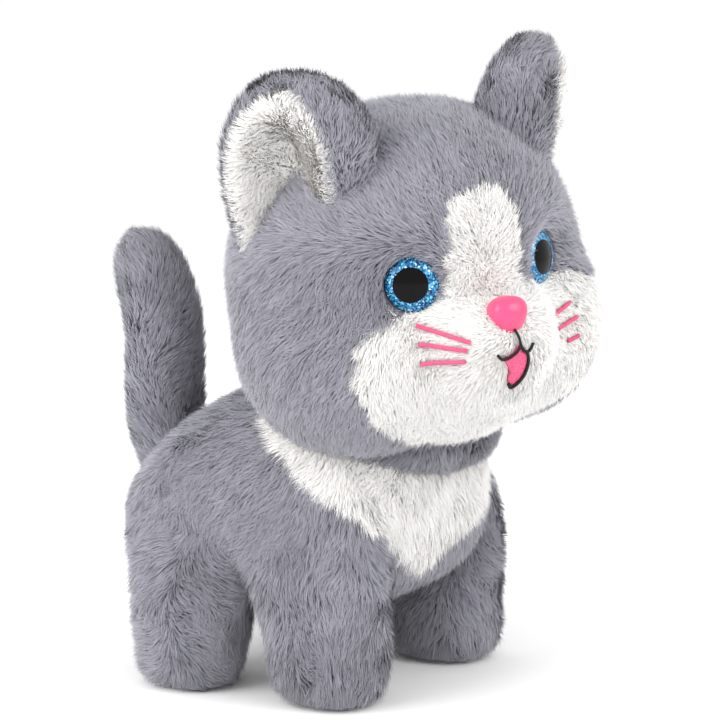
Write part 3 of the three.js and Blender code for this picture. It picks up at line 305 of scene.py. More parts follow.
def dress_frame():
    """Materials for the CAD pieces that stay."""
    kinds = {
        "abs_white": plastic_material("white_housing", tone(214, 214, 211), 0.42),
        "abs_black": plastic_material("black_housing", tone(32, 33, 36), 0.46),
        "pom_natural": plastic_material("gear_plastic", tone(234, 230, 220), 0.33),
        "core_pp": plastic_material("core_plastic", tone(204, 207, 210), 0.5),
        "sole_rubber": plastic_material("sole_rubber", tone(82, 81, 90), 0.9),
        "steel": metal_material("bright_steel", tone(180, 182, 186), 0.3),
        "motor_can": metal_material("motor_can", tone(168, 171, 176), 0.36),
        "cell_wrap": cell_material(),
        "circuit_board": plastic_material("circuit_board", tone(44, 106, 66), 0.45),
        "eye_blue": materials["pupil"],
        "nose_pink": materials["nose"],
        **{slot: materials[cloth] for slot, cloth in CLOTH.items()},
    }
    for part in frame["record"]["subparts"]:
        node = frame["nodes"][part["node"]]
        for place in node.material_slots:
            place.material = kinds[part["material_slot"]]


# ---- mesh helpers
def unit(v):
    return v / np.maximum(np.linalg.norm(v, axis=-1, keepdims=True), 1e-9)


def turn(axis, degrees):
    return np.array(Matrix.Rotation(math.radians(degrees), 3, axis))


def circle(count):
    """Angles evenly round one turn."""
    return np.linspace(0, 2 * math.pi, count, endpoint=False)


def squared(value, power):
    """A sine or cosine bent so that a circle drawn with it becomes a rounded square."""
    return np.sign(value) * np.abs(value) ** power


def new_mesh(name, points, faces, material):
    """Object from points in the drawing frame, in mm. faces holds one array per face size."""
    mesh = bpy.data.meshes.new(name)
    sizes = np.concatenate([np.full(len(f), f.shape[1]) for f in faces])
    starts = np.concatenate([[0], np.cumsum(sizes)[:-1]])
    corners = np.concatenate([f.ravel() for f in faces])
    mesh.vertices.add(len(points))
    mesh.vertices.foreach_set("co", ((points + SHIFT) * MM).astype(np.float32).ravel())
    mesh.loops.add(len(corners))
    mesh.loops.foreach_set("vertex_index", corners.astype(np.int32))
    mesh.polygons.add(len(sizes))
    mesh.polygons.foreach_set("loop_start", starts.astype(np.int32))
    mesh.update(calc_edges=True)
    mesh.polygons.foreach_set("use_smooth", np.ones(len(sizes), bool))
    mesh.materials.append(material)
    obj = bpy.data.objects.new(name, mesh)
    bpy.context.scene.collection.objects.link(obj)
    return obj


def grid_faces(rows, columns, closed):
    """Quads of a grid of points, row by row. closed joins the last column to the first."""
    across = np.arange(columns if closed else columns - 1)
    r, c = np.meshgrid(np.arange(rows - 1), across, indexing="ij")
    a = (r * columns + c).ravel()
    b = (r * columns + (c + 1) % columns).ravel()
    return np.stack([a, b, b + columns, a + columns], 1)


def capped(rings):
    """Points and faces of a closed skin through rings of points, with both ends closed."""
    rows, columns, _ = rings.shape
    points = np.concatenate([rings.reshape(-1, 3), rings[:1].mean(1), rings[-1:].mean(1)])
    c = np.arange(columns)
    n = (c + 1) % columns
    last = (rows - 1) * columns
    first_fan = np.stack([n, c, np.full(columns, rows * columns)], 1)
    last_fan = np.stack([last + c, last + n, np.full(columns, rows * columns + 1)], 1)
    return points, [grid_faces(rows, columns, True), np.concatenate([first_fan, last_fan])]


def smooth_rows(table, count):
    """Resamples rows of numbers to count rows along a smooth curve through them."""
    table = np.asarray(table, float)
    t = np.linspace(0, len(table) - 1, count)
    i = np.clip(t.astype(int), 0, len(table) - 2)
    f = (t - i)[:, None]
    p0, p1 = table[np.maximum(i - 1, 0)], table[i]
    p2, p3 = table[i + 1], table[np.minimum(i + 2, len(table) - 1)]
    return 0.5 * (2 * p1 + (p2 - p0) * f + (2 * p0 - 5 * p1 + 4 * p2 - p3) * f ** 2
                  + (3 * p1 - p0 - 3 * p2 + p3) * f ** 3)


DENSE = {"grey": 5.4, "white": 8.0}    # ribbons on each square mm of skin


def thinned(roots, rng):
    """Those of the roots, scattered for white pile, that grey pile keeps."""
    return roots[rng.random(len(roots)) < DENSE["grey"] / DENSE["white"]]


class Surface:
    """Triangles of a skin, from which pile can grow."""

    def __init__(self, points, faces):
        quads = [f for f in faces if f.shape[1] == 4]
        tris = [f for f in faces if f.shape[1] == 3]
        for quad in quads:
            tris += [quad[:, [0, 1, 2]], quad[:, [0, 2, 3]]]
        self.points, self.faces = points, faces
        self.tris = np.concatenate(tris)
        a, b, c = (points[self.tris[:, k]] for k in range(3))
        cross = np.cross(b - a, c - a)
        self.area = np.linalg.norm(cross, axis=1) / 2
        volume = np.einsum("ij,ij->i", a, np.cross(b, c)).sum()
        if volume < 0:
            cross = -cross
            self.faces = [f[:, ::-1] for f in faces]
        normals = np.zeros_like(points)
        for k in range(3):
            np.add.at(normals, self.tris[:, k], cross)
        self.normals = unit(normals)

    def scatter(self, density, rng, keep):
        """Random points with their normals, density per square mm, where keep is true."""
        whole = self.area.sum()
        count = int(whole * density)
        pick = np.searchsorted(np.cumsum(self.area), rng.random(count) * whole)
        tri = self.tris[np.minimum(pick, len(self.tris) - 1)]
        u, v = rng.random(count), rng.random(count)
        flip = u + v > 1
        u[flip], v[flip] = 1 - u[flip], 1 - v[flip]
        w = np.stack([1 - u - v, u, v], 1)[:, :, None]
        root = (self.points[tri] * w).sum(1)
        normal = unit((self.normals[tri] * w).sum(1))
        good = keep(root, normal)
        return root[good], normal[good]

    def mesh(self, name, material):
        return new_mesh(name, self.points, self.faces, material)


def closed(rings, place=lambda p: p):
    """Closed skin through rings of points, moved to its place."""
    points, faces = capped(np.asarray(rings))
    return Surface(place(points), faces)


class Waves:
    """Smooth seeded variation over space, with features about size mm across."""

    def __init__(self, seed, size, count=14):
        rng = np.random.default_rng(seed)
        ways = unit(rng.normal(size=(count, 3)))
        self.k = ways * (2 * math.pi / (size * rng.uniform(0.7, 1.7, (count, 1))))
        self.phase = rng.uniform(0, 2 * math.pi, count)
        self.way = rng.normal(size=(count, 3))
        self.scale = math.sqrt(2 / count)

    def value(self, p):
        return np.sin(p @ self.k.T + self.phase).sum(1) * self.scale

    def vector(self, p):
        return np.sin(p @ self.k.T + self.phase) @ self.way * self.scale


def tuft_centres(p, size, salt):
    """For each point, the jittered centre of its tuft, and a number from 0 to 1 for the tuft."""
    warped = p + Waves(salt + 7, size * 4).vector(p) * size * 0.35
    cell = np.floor(warped / size)

    def chance(k):
        value = np.sin(cell @ np.array([127.1, 311.7, 74.7]) + k * 53.3 + salt) * 43758.5453
        return value - np.floor(value)
    jitter = np.stack([chance(1), chance(2), chance(3)], 1) - 0.5
    return p - warped + (cell + 0.5 + 0.6 * jitter) * size, chance(4)


def dot(a, b):
    return np.einsum("ij,ij->i", a, b)[:, None]


def level(normal, way):
    """The part of the directions that lies along the skin, at unit length."""
    return unit(way - normal * dot(way, normal))


STRAND_V = np.array([0.02, 0.02, 0.5, 0.5, 0.98])   # v at a strand's five points, root to tip
TUFT = 2.3                                          # size of a tuft, in mm
FLOOR_GAP = 0.35                                    # strands stay this far over the floor


def riding(body):
    """Gives a piece its one body."""
    return lambda obj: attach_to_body(obj, body)


def sewn(name, surface, slot, attach, fill, *nodes):
    """Stuffed skin of knitted backing, which stands for the plain CAD nodes."""
    skin = surface.mesh(name, materials[CLOTH[slot]])
    attach(skin)
    if nodes:
        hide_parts(*nodes)
    return skin


def grow(name, root, normal, comb, length, slot, attach, seed,
         width=0.27, lean=(0.6, 1.25), gather=0.5, messy=0.30, tint_bias=0.0):
    """Pile: one tapered, bent ribbon for each root, combed and gathered into tufts.

    lean is each half's angle off the skin's normal. gather is how far tips are pulled together.
    """
    rng = np.random.default_rng(seed)
    count = len(root)
    length = np.broadcast_to(length, (count,)) * rng.uniform(0.8, 1.15, count)
    sway = Waves(seed + 1, 26).vector(root) * 0.26 + Waves(seed + 2, 8).vector(root) * 0.20
    comb = level(normal, comb + sway + rng.normal(size=(count, 3)) * messy * 0.5)
    centre, chance = tuft_centres(root, TUFT, seed)
    pull = centre - root
    pull -= normal * dot(pull, normal)
    lift = (rng.normal(size=count) * 0.12 + (chance - 0.5) * 0.24)[:, None]
    spine = [root]
    for angle, gathered in ((lean[0], 0.3), (lean[1], 0.7)):
        way = np.cos(angle + lift) * normal + np.sin(angle + lift) * comb
        spine.append(spine[-1] + way * (length / 2)[:, None] + pull * gather * gathered)
    for k in (1, 2):
        spine[k][:, 2] = np.maximum(spine[k][:, 2], FLOOR_GAP + 0.15 * k)
    along = unit(spine[2] - root)
    side = unit(np.cross(along, normal))
    roll = rng.uniform(-0.7, 0.7, count)[:, None]
    side = side * np.cos(roll) + np.cross(along, side) * np.sin(roll)
    wide = width * rng.uniform(0.75, 1.2, count)[:, None] / 2
    points = np.stack([root - side * wide, root + side * wide, spine[1] - side * wide * 0.85,
                       spine[1] + side * wide * 0.85, spine[2]], 1)
    base = (np.arange(count) * len(STRAND_V))[:, None]
    quads = base + np.array([0, 1, 3, 2])
    tips = base + np.array([2, 3, 4])
    obj = new_mesh(name, points.reshape(-1, 3), [quads, tips], materials[PILE[slot]])
    # The slow waves darken and lighten broad patches of pile as painted light and shade, standing
    # for light falling on brushed patches; tufts and single strands also differ in tone at random.
    tint = 0.52 + 0.12 * Waves(seed + 3, 34).value(root) + 0.09 * Waves(seed + 4, 7).value(root)
    tint = tint + 0.22 * (chance - 0.5) + rng.normal(size=count) * 0.12 + tint_bias
    tint = np.clip(tint, 0.02, 0.98)
    uv = np.stack([np.repeat(tint, len(STRAND_V)), np.tile(STRAND_V, count)], 1)
    corners = np.concatenate([quads.ravel(), tips.ravel()])
    layer = obj.data.uv_layers.new(name=STRAND_UV)
    layer.data.foreach_set("uv", uv[corners].astype(np.float32).ravel())
    soft = unit(normal + 0.30 * along + 0.10 * rng.normal(size=(count, 3)))
    obj.data.normals_split_custom_set_from_vertices(np.repeat(soft, len(STRAND_V), 0).tolist())
    attach(obj)


# ---- head shape
# Points "of the head" are in its own frame: origin at its centre, face towards -Y, up Z.
HEAD_TURN = turn("Z", -30) @ turn("Y", -7.7) @ turn("X", 4.2)
HEAD_CENTRE = np.array([-7.0, -40.124, 137.9])
LOBES = [   # centre and radii of the ellipsoids that the stuffed head runs smoothly over
    ((0, 1, 6), (60, 52, 54)),
    ((-28, -8, -17), (34.5, 40.5, 32.5)),
    ((28, -8, -17), (34.5, 40.5, 32.5)),
    ((0, -33, -13), (26, 27, 19)),
    ((0, -20, -27), (30, 28, 23)),
    ((0, -13, 24), (43, 39, 33)),
    ((0, -38, -9.5), (23.5, 26.2, 16.5)),
    ((0, -38, -20), (22, 21.2, 15.5)),
]
EYE_SIDE, EYE_AHEAD, EYE_UP, EYE_R = 24.7, 43.9, 11.1, 9.0
EYE_AIM = (0.42, -0.9, 0.08)
NOSE_UP = 0.2


def on_face(p):
    """True for head points as far forward as the eyes, nose and mouth."""
    return p[:, 1] < -20


def nose_distance(p):
    """Distance of head points from the nose's middle, seen from ahead."""
    return np.linalg.norm(p[:, [0, 2]] - np.array([0, NOSE_UP]), axis=1)


def from_head(p):
    return np.asarray(p, float) @ HEAD_TURN.T + HEAD_CENTRE


def to_head(p):
    return (p - HEAD_CENTRE) @ HEAD_TURN


def head_reach(u):
    """Distance from the head's centre to its stuffed surface along unit directions."""
    total = 0.0
    for centre, radii in LOBES:
        c, r = np.array(centre, float), np.array(radii, float)
        a = ((u / r) ** 2).sum(-1)
        b = (u * c / r ** 2).sum(-1)
        k = ((c / r) ** 2).sum() - 1
        root = b * b - a * k
        reach = np.maximum(0, (b + np.sqrt(np.maximum(root, 0))) / a)
        total = total + np.where(root > 0, reach, 0) ** 16
    return total ** (1 / 16)


def over_head(p, depth):
    """True for head points less than depth under the stuffed surface, or over it."""
    return np.linalg.norm(p, axis=1) > head_reach(unit(p)) - depth


def eye_axis_distance(p):
    """Distance of head points from the nearer eye's centre, and the direction away from it."""
    mirror = np.where(p[:, :1] < 0, np.array([-1.0, 1, 1]), 1.0)
    away = p * mirror - np.array([EYE_SIDE, -EYE_AHEAD, EYE_UP])
    axis = unit(np.array(EYE_AIM))
    away = (away - axis * (away @ axis)[:, None]) * mirror
    return np.linalg.norm(away, axis=1), away


def head_skin_reach(u):
    """The sewn skin under the pile, dented round the eyes and the nose."""
    reach = head_reach(u) - INSET
    p = u * reach[:, None]
    distance, _ = eye_axis_distance(p)
    reach = reach - np.where(on_face(p), 2.6 * np.exp(-(distance / 10.5) ** 4), 0)
    nose = np.linalg.norm(p - np.array([0, -56, NOSE_UP]), axis=1)
    return reach - np.where(on_face(p), 1.6 * np.exp(-(nose / 7.0) ** 4), 0)


def head_surface():
    bands, turns = 84, 128
    polar = np.linspace(0, math.pi, bands + 1)[1:-1][:, None]
    around = circle(turns)[None, :]
    u = np.stack([np.sin(polar) * np.cos(around), np.sin(polar) * np.sin(around),
                  np.cos(polar) * np.ones_like(around)], -1)
    flat = u.reshape(-1, 3)
    rings = (flat * head_skin_reach(flat)[:, None]).reshape(u.shape)
    points, faces = capped(rings)
    for place, way in ((-2, (0, 0, 1.0)), (-1, (0, 0, -1.0))):
        way = np.array([way])
        points[place] = way[0] * head_skin_reach(way)[0]
    return Surface(from_head(points), faces)


def face_point(x, z, lift):
    """Point of the face at (x, z) in the head's own frame, lift mm above the sewn skin."""
    low, high = -90.0, -15.0
    for _ in range(40):
        y = (low + high) / 2
        p = np.array([[x, y, z]])
        length = np.linalg.norm(p)
        if length > head_skin_reach(p / length)[0] + lift:
            low = y
        else:
            high = y
    return np.array([x, (low + high) / 2, z])


# Half outline of the white mask, (x, z), from the top of the blaze to under the chin.
MASK = [(0, 39.2), (5, 38.9), (9, 37.0), (11.5, 33.5), (12.8, 27), (13.5, 19), (13.8, 11),
        (14.3, 6.0), (17.6, 4.4), (25.5, 2.2), (31, 0.0), (35.5, -3.2), (40, -4.6), (44.2, -7.8),
        (46.4, -13.5), (45.9, -21), (43, -28), (38.5, -33.5), (30, -39.5), (18, -44.5), (8, -46),
        (0, -46)]


def inside_outline(x, z, outline):
    """True where (x, z) is inside the closed outline."""
    inside = np.zeros(len(x), bool)
    for (x1, z1), (x2, z2) in zip(outline, outline[1:] + outline[:1]):
        crosses = (z1 > z) != (z2 > z)
        with np.errstate(divide="ignore", invalid="ignore"):
            at = x1 + (z - z1) * (x2 - x1) / (z2 - z1)
        inside ^= crosses & (x < at)
    return inside


MASK_OUTLINE = [tuple(p) for p in smooth_rows(MASK, 70)]
MASK_OUTLINE = MASK_OUTLINE + [(-x, z) for x, z in reversed(MASK_OUTLINE[1:-1])]


def is_mask(p):
    """True for head points on the white mask.

    The blaze is sewn a little to the kitten's right, and the left cheek's patch is wider.
    """
    blaze = np.clip((p[:, 2] - 3) / 6, 0, 1)
    x = (p[:, 0] + 1.6 * blaze) * (1 - 0.07 * blaze)
    x = np.where(x > 0, x * (1 - 0.24 * (1 - blaze)), x)
    return (p[:, 1] < -8) & inside_outline(x, p[:, 2], MASK_OUTLINE)


# ---- embroidery
# Places are (x, z) of the head, and each is then found on the face's skin.
WHISKERS = {
    "right": [[(-14.4, -6.9), (-25.6, -1.5)], [(-15.6, -9.3), (-26.4, -7.1)],
              [(-16.2, -12.7), (-26.9, -13.3)]],
    "left": [[(24.6, -7.9), (33, -5.6)], [(25.6, -12.3), (35.2, -10.6)],
             [(29.5, -17.3), (35, -16.8)]],
}
SMILE = [(-7.9, -11.3), (-6.5, -12.9), (-4.3, -12.7), (-1.8, -11.4), (0, -9.8), (1.1, -11.5),
         (2.6, -12), (4, -11.2), (5, -9.8)]
LIP = [(2.2, -12.2), (2.9, -14.6), (2.7, -17.6), (1.6, -20.6), (-0.6, -23), (-2.2, -23.4),
       (-3.4, -21.8)]
MOUTH_EDGE = [(-6.1, -12.9), (-4.4, -15), (-3.1, -17.6), (-3, -20.8), (-1.6, -23), (1, -21.2),
              (2.5, -17.6), (2.8, -14.6), (2.2, -12.2)]
PHILTRUM = [(-0.6, -4.6), (-0.1, -7.2), (0, -9.8)]
STITCHES = [*WHISKERS["right"], *WHISKERS["left"], SMILE, LIP, MOUTH_EDGE, PHILTRUM]


def near_paths(p, paths, reach):
    """From 0 at a path to 1 at reach mm from every path, in the face's plane."""
    best = np.full(len(p), 1e9)
    for path in paths:
        for (x1, z1), (x2, z2) in zip(path, path[1:]):
            d = np.array([x2 - x1, z2 - z1], float)
            q = p[:, [0, 2]] - np.array([x1, z1])
            t = np.clip(q @ d / max(d @ d, 1e-9), 0, 1)
            best = np.minimum(best, np.linalg.norm(q - t[:, None] * d, axis=1))
    return np.where(on_face(p), np.clip(best / reach, 0, 1), 1.0)


def head_comb(p):
    """Lie of the pile at head points: away from the nose and eyes, down the sides, back on top."""
    way = unit(p - np.array([0, -62, 1.0])) + np.array([0, 0.25, 0.0])
    crown = np.clip((p[:, 2:] - 18) / 14, 0, 1)
    side = np.clip((np.abs(p[:, :1]) - 16) / 20, 0, 1) * (1 - crown)
    way = (unit(way) * (1 - 0.7 * side) + side * np.array([0, 0.25, -0.95])
           + crown * np.array([0, 0.5, 0.5]))
    distance, away = eye_axis_distance(p)
    near_eye = np.where(on_face(p), np.exp(-(distance / 12.0) ** 2), 0)[:, None]
    way = unit(way) + 0.25 * near_eye * unit(away)
    nose = p - np.array([0, -58, NOSE_UP])
    near_nose = np.exp(-(np.linalg.norm(nose, axis=1) / 12) ** 2)[:, None]
    return unit(way + 0.8 * near_nose * unit(nose))


def head_length(p, full):
    """Pile length at head points: short round the eyes and nose, pressed down by the stitches."""
    distance, _ = eye_axis_distance(p)
    near_eye = np.where(on_face(p), np.clip((distance - EYE_R + 3.4) / 8, 0.42, 1), 1)
    near_nose = np.where(on_face(p), np.clip((nose_distance(p) - 1.0) / 13, 0.35, 1), 1)
    stitched = 0.26 + 0.74 * near_paths(p, STITCHES, 4.8)
    return full * np.minimum(np.minimum(near_eye, near_nose), stitched)


def head_pile(surface):
    """Grey and white pile of the head, in pieces small enough to export."""
    rng = np.random.default_rng(11)
    mouth_outline = MOUTH_EDGE + SMILE[5:0:-1]

    def keep(root, normal):
        p = to_head(root)
        distance, _ = eye_axis_distance(p)
        mouth = inside_outline(p[:, 0], p[:, 2], mouth_outline)
        bare = (distance < EYE_R + 0.2) | (nose_distance(p) < 3.4) | mouth
        return ~(on_face(p) & bare) & ~in_ear(p)
    root, normal = surface.scatter(DENSE["white"], rng, keep)
    p = to_head(root)
    comb = head_comb(p)
    tips = p + level(normal @ HEAD_TURN, comb) * head_length(p, 4.2)[:, None]
    white = is_mask(tips + Waves(31, 5).vector(p) * 0.5)
    for k, part in enumerate(np.array_split(thinned(np.nonzero(~white)[0], rng), 3)):
        grow(f"head_pile_{k + 1}", root[part], normal[part], comb[part] @ HEAD_TURN.T,
             head_length(p[part], 6.6), "grey_plush", riding("head"), 101 + k)
    for k, part in enumerate(np.array_split(np.nonzero(white)[0], 2)):
        grow(f"face_pile_{k + 1}", root[part], normal[part], comb[part] @ HEAD_TURN.T,
             head_length(p[part], 5.2), "white_plush", riding("head"), 108 + k,
             width=0.25, lean=(0.62, 1.28), gather=0.12, messy=0.45, tint_bias=0.1)


# ---- eyes, nose and embroidery
def seat(place, way):
    """Function that puts a piece drawn along -Y on the face."""
    spin = np.array(Vector((0, -1, 0)).rotation_difference(Vector(way).normalized()).to_matrix())
    return lambda q: from_head(q @ spin.T + np.array(place, float))


def eye(word, side):
    """Domed safety eye: black pupil, off centre towards the kitten's right, glitter, and a dark rim
    that is the eye's own edge with painted shade from the pile round it.
    """
    aim_x, aim_y, aim_z = EYE_AIM
    put = seat((side * EYE_SIDE, -EYE_AHEAD - 0.7, EYE_UP), (side * aim_x, aim_y, aim_z))
    radii = np.array([0.001, 1, 2, 3, 4, 5, 5.55, 5.6, 6.2, 7, 7.7, 8.3, 8.7, 8.95, 9.0, 9.0, 8.2])
    last_pupil, last_glitter = 7, 12      # rings of faces
    height = 4.6 * np.sqrt(np.maximum(0, 1 - (radii / 9.3) ** 2)) - 3.4
    height[-2:] = (-3.6, -4.6)
    turns = 64
    around = circle(turns)
    drift = np.where(radii < 5.58, 1.0, np.clip((8.7 - radii) / 3.1, 0, 1))[:, None] * -1.1
    rings = np.stack([radii[:, None] * np.cos(around) + drift,
                      np.broadcast_to(-height[:, None], (len(radii), turns)),
                      radii[:, None] * np.sin(around)], -1)
    obj = closed(rings, put).mesh(f"eye_{word}_dome", materials["glitter"])
    obj.data.materials.append(materials["pupil"])
    obj.data.materials.append(materials["eye_rim_and_shade"])
    rear = len(radii)
    ring = np.array([max(f.vertices) // turns if len(f.vertices) == 4
                     else rear * (max(f.vertices) % 2) for f in obj.data.polygons])
    kind = np.where(ring <= last_pupil, 1, np.where(ring <= last_glitter, 0, 2))
    obj.data.polygons.foreach_set("material_index", kind.astype(np.int32))
    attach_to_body(obj, "head")
    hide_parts(f"eye_{word}")


def nose():
    """Vinyl button, wider at the top, with a rim that goes back into the pile."""
    put = seat((0, -58.8, -0.4), (0, -1, 0.06))
    turns = 64
    t = circle(turns)
    wide = 6.1 * np.cos(t) * (1 + 0.12 * np.sin(t))
    high = 5.8 * np.sin(t) + 0.35 * np.cos(2 * t)
    slope = np.linspace(0.02, math.pi / 2, 14)
    profile = list(zip(np.sin(slope), np.cos(slope) ** 0.8 * -4.6)) + [(0.97, 3.0), (0.7, 6.0)]
    rings = [np.stack([wide * share, np.full(turns, back), high * share], 1)
             for share, back in profile]
    obj = closed(rings, put).mesh("nose_button", materials["nose"])
    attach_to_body(obj, "head")
    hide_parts("nose")


def stitched_line(name, path, width, height, material, count, lift):
    """Satin-stitch line: a raised cord along the path, ridged across by its count of threads."""
    flat = smooth_rows(path, count) if len(path) > 2 else np.linspace(path[0], path[1], count)
    middle = np.array([face_point(x, z, lift) for x, z in flat])
    along = unit(np.gradient(middle, axis=0))
    out = level(along, unit(middle))
    across = np.cross(along, out)
    ridge = 1 + 0.16 * (np.arange(count) % 2)
    end = np.minimum(1, np.sin(np.linspace(0.12, math.pi - 0.12, count)) * 6) ** 0.5
    t = circle(10)[None, :, None]
    rings = (middle[:, None] + (across * (width / 2 * ridge * end)[:, None])[:, None] * np.cos(t)
             + (out * (height * ridge * end)[:, None])[:, None] * np.sin(t))
    obj = closed(rings, from_head).mesh(name, material)
    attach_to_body(obj, "head")


def tongue():
    """Filled stitching of the open mouth, between the smile and the lower lip."""
    rows, columns = 15, 33
    top = smooth_rows(SMILE[1:7], columns)
    low = smooth_rows(MOUTH_EDGE, columns)
    share = np.linspace(0, 1, rows)[:, None, None]
    flat = top[None] * (1 - share) + low[None] * share
    stitched = np.array([[face_point(x, z, 1.5) for x, z in row] for row in flat])
    puff = (0.35 * np.sin(np.linspace(0, math.pi, rows))[:, None]
            + 0.14 * (np.arange(columns) % 2)[None, :])
    stitched = stitched + unit(stitched) * puff[:, :, None]
    back = stitched - unit(stitched) * 1.6
    points = np.concatenate([stitched.reshape(-1, 3), back.reshape(-1, 3)])
    front = grid_faces(rows, columns, False)
    count = rows * columns
    grid = np.arange(count).reshape(rows, columns)
    rim = np.concatenate([grid[0], grid[1:, -1], grid[-1, -2::-1], grid[-2:0:-1, 0]])
    after = np.roll(rim, -1)
    sides = np.stack([rim, after, after + count, rim + count], 1)
    faces = np.concatenate([front, front[:, ::-1] + count, sides[:, ::-1]])
    obj = Surface(from_head(points), [faces]).mesh("mouth_filling", materials["pink_thread"])
    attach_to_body(obj, "head")


def face_details():
    for word, side in (("right", -1), ("left", 1)):
        eye(word, side)
    nose()
    pink, black = materials["pink_thread"], materials["black_thread"]
    for word, paths in WHISKERS.items():
        for k, path in enumerate(paths):
            stitched_line(f"whisker_{word}_{k + 1}", path, 1.35, 0.55, pink, 56, 2.2)
    stitched_line("mouth_smile", SMILE, 0.95, 0.5, black, 90, 2.1)
    stitched_line("mouth_lip", LIP, 0.95, 0.5, black, 90, 2.1)
    stitched_line("mouth_philtrum", PHILTRUM, 0.75, 0.45, black, 30, 2.1)
    tongue()


# ---- ears
EAR_ROOT, EAR_TIP = np.array([39.4, -7.8, 32]), np.array([46.5, -17.6, 74.0])
EAR_FRONT = np.array([0.74, -0.65, 0.14])
EAR_UP = [-0.35, 0, 0.3, 0.55, 0.75, 0.88, 0.95, 1.0]    # heights, from 0 at the root to 1
EAR_HALF = [20.5, 22.5, 23.2, 22, 18.8, 14, 10, 2.5]     # half width at those heights
EAR_DEEP = [10.5, 11.8, 12.3, 11.8, 10.2, 7.8, 5.5, 2]   # half depth
EAR_MIDDLE = 0.12                                        # across position of the pocket's middle


def ear_frame():
    """The ear's way up, at full length, and its ways across and to its front."""
    rise = EAR_TIP - EAR_ROOT
    width = unit(np.cross(rise, EAR_FRONT))
    return rise, width, unit(np.cross(width, rise))


def pocket_half(sideways):
    """How far the pocket reaches from its middle, to the inner or the outer side."""
    return np.where(sideways > 0, 0.70, 0.62)


def pocket_top(up):
    """0 below the round top of the pocket, and 1 where the top's rim is."""
    return np.maximum(0, (up - 0.48) / 0.45)


def ear_rim(across, up):
    """0 in the pocket's middle and 1 on its rim's crest, with the share of it that is sideways."""
    sideways = np.abs(across - EAR_MIDDLE) / pocket_half(across - EAR_MIDDLE)
    radial = (sideways ** 2.5 + pocket_top(up) ** 2.5) ** 0.4
    return radial, (sideways / np.maximum(radial, 1e-6)) ** 2.5


def ear_front(across, up):
    """Height of the ear's front over its middle plane, in mm: a pocket with a rolled rim."""
    deep = np.interp(up, EAR_UP, EAR_DEEP)
    radial, sideways = ear_rim(across, up)
    t = np.clip(radial, 0, 1)
    inner = -0.25 + 0.95 * t * t * (3 - 2 * t)
    fall = np.where(across < EAR_MIDDLE, 0.28 + 0.52 * sideways, 0.27)
    outer = 0.70 * np.sqrt(np.maximum(0, 1 - np.clip((radial - 1) / fall, 0, 1) ** 2))
    return deep * np.where(radial < 1, inner, outer)


def ear_back(across, up):
    """Height of the ear's back, under its middle plane."""
    return -1.12 * np.interp(up, EAR_UP, EAR_DEEP) * np.sqrt(np.maximum(0, 1 - across ** 4))


def ear_point(side, across, up, height):
    """Head points at places given as ear_place gives them."""
    rise, width, front = ear_frame()
    half = np.interp(up, EAR_UP, EAR_HALF)
    p = (EAR_ROOT + rise * up[..., None] + width * (half * across)[..., None]
         + front * height[..., None])
    return p * np.array([side, 1, 1])


def ear_place(side, p):
    """Across in half widths, up, and height over the ear's middle plane, of head points."""
    rise, width, front = ear_frame()
    q = p * np.array([side, 1, 1]) - EAR_ROOT
    up = q @ rise / (rise @ rise)
    return q @ width / np.interp(up, EAR_UP, EAR_HALF), up, q @ front


def ear_surface(side, across, up, front, back):
    """Closed skin between a front and a back over a grid of across and up."""
    face = ear_point(side, across, up, front(across, up))
    rear = ear_point(side, across, up, back(across, up))
    return closed(np.concatenate([face, rear[:, ::-1]], 1), from_head)


def ear_shell(side):
    across = np.sin(np.linspace(-1, 1, 41) * math.pi / 2) * 0.999
    across, up = np.meshgrid(across, np.linspace(-0.35, 0.995, 40))
    return ear_surface(side, across, up, ear_front, ear_back)


def ear_lining(side):
    x, up = np.meshgrid(np.linspace(-1, 1, 37), np.linspace(-0.3, 0.958, 36))
    share = np.maximum(0, 1.08 ** 2.5 - pocket_top(up) ** 2.5) ** 0.4
    across = EAR_MIDDLE + x * share * pocket_half(x)
    return ear_surface(side, across, up, lambda a, u: ear_front(a, u) + 0.9,
                       lambda a, u: ear_front(a, u) - 0.8)


def in_ear(p):
    """True for head points covered by an ear."""
    covered = np.zeros(len(p), bool)
    for side in (-1, 1):
        across, up, height = ear_place(side, p)
        near = (np.abs(across) < 0.93) & (up > -0.5) & (up < 1)
        covered |= near & (height > ear_back(across, up) + 3) & (height < ear_front(across, up) - 2)
    return covered


def ear(word, side):
    rise, _, front = ear_frame()
    mirror = np.array([side, 1, 1])
    upward = (unit(rise) * mirror) @ HEAD_TURN.T
    facing = (front * mirror) @ HEAD_TURN.T
    shell = ear_shell(side)
    sewn(f"ear_{word}_skin", shell, "grey_plush", riding("head"), 0.5, f"ear_{word}")

    def on_back(root, normal):
        p = to_head(root)
        across, up, height = ear_place(side, p)
        radial, _ = ear_rim(across, up)
        pocket = ((radial < 1.04) & (height > ear_front(across, up) - 2.5)
                  & (normal @ facing > -0.1))
        return ~pocket & over_head(p, 5)
    root, normal = shell.scatter(DENSE["grey"], np.random.default_rng(41 + side), on_back)
    grow(f"ear_{word}_pile", root, normal, upward + 0.3 * normal, 5.6, "grey_plush",
         riding("head"), 141 + side, lean=(0.6, 1.2), tint_bias=-0.05)

    inner = ear_lining(side)
    sewn(f"ear_{word}_lining", inner, "lining_plush", riding("head"), 0.3, f"ear_lining_{word}")

    def in_pocket(root, normal):
        p = to_head(root)
        across, up, height = ear_place(side, p)
        return (height > ear_front(across, up) - 0.2) & over_head(p, 4)
    root, normal = inner.scatter(DENSE["white"], np.random.default_rng(45 + side), in_pocket)
    centre = ear_point(side, np.array([EAR_MIDDLE]), np.array([0.35]), np.array([0.0]))
    comb = unit(root - from_head(centre)) + 0.4 * upward + 0.2 * facing
    grow(f"ear_{word}_fluff", root, normal, comb, 4.2, "lining_plush", riding("head"), 151 + side,
         width=0.25, lean=(0.5, 1.15), gather=0.12, messy=0.4, tint_bias=0.1)


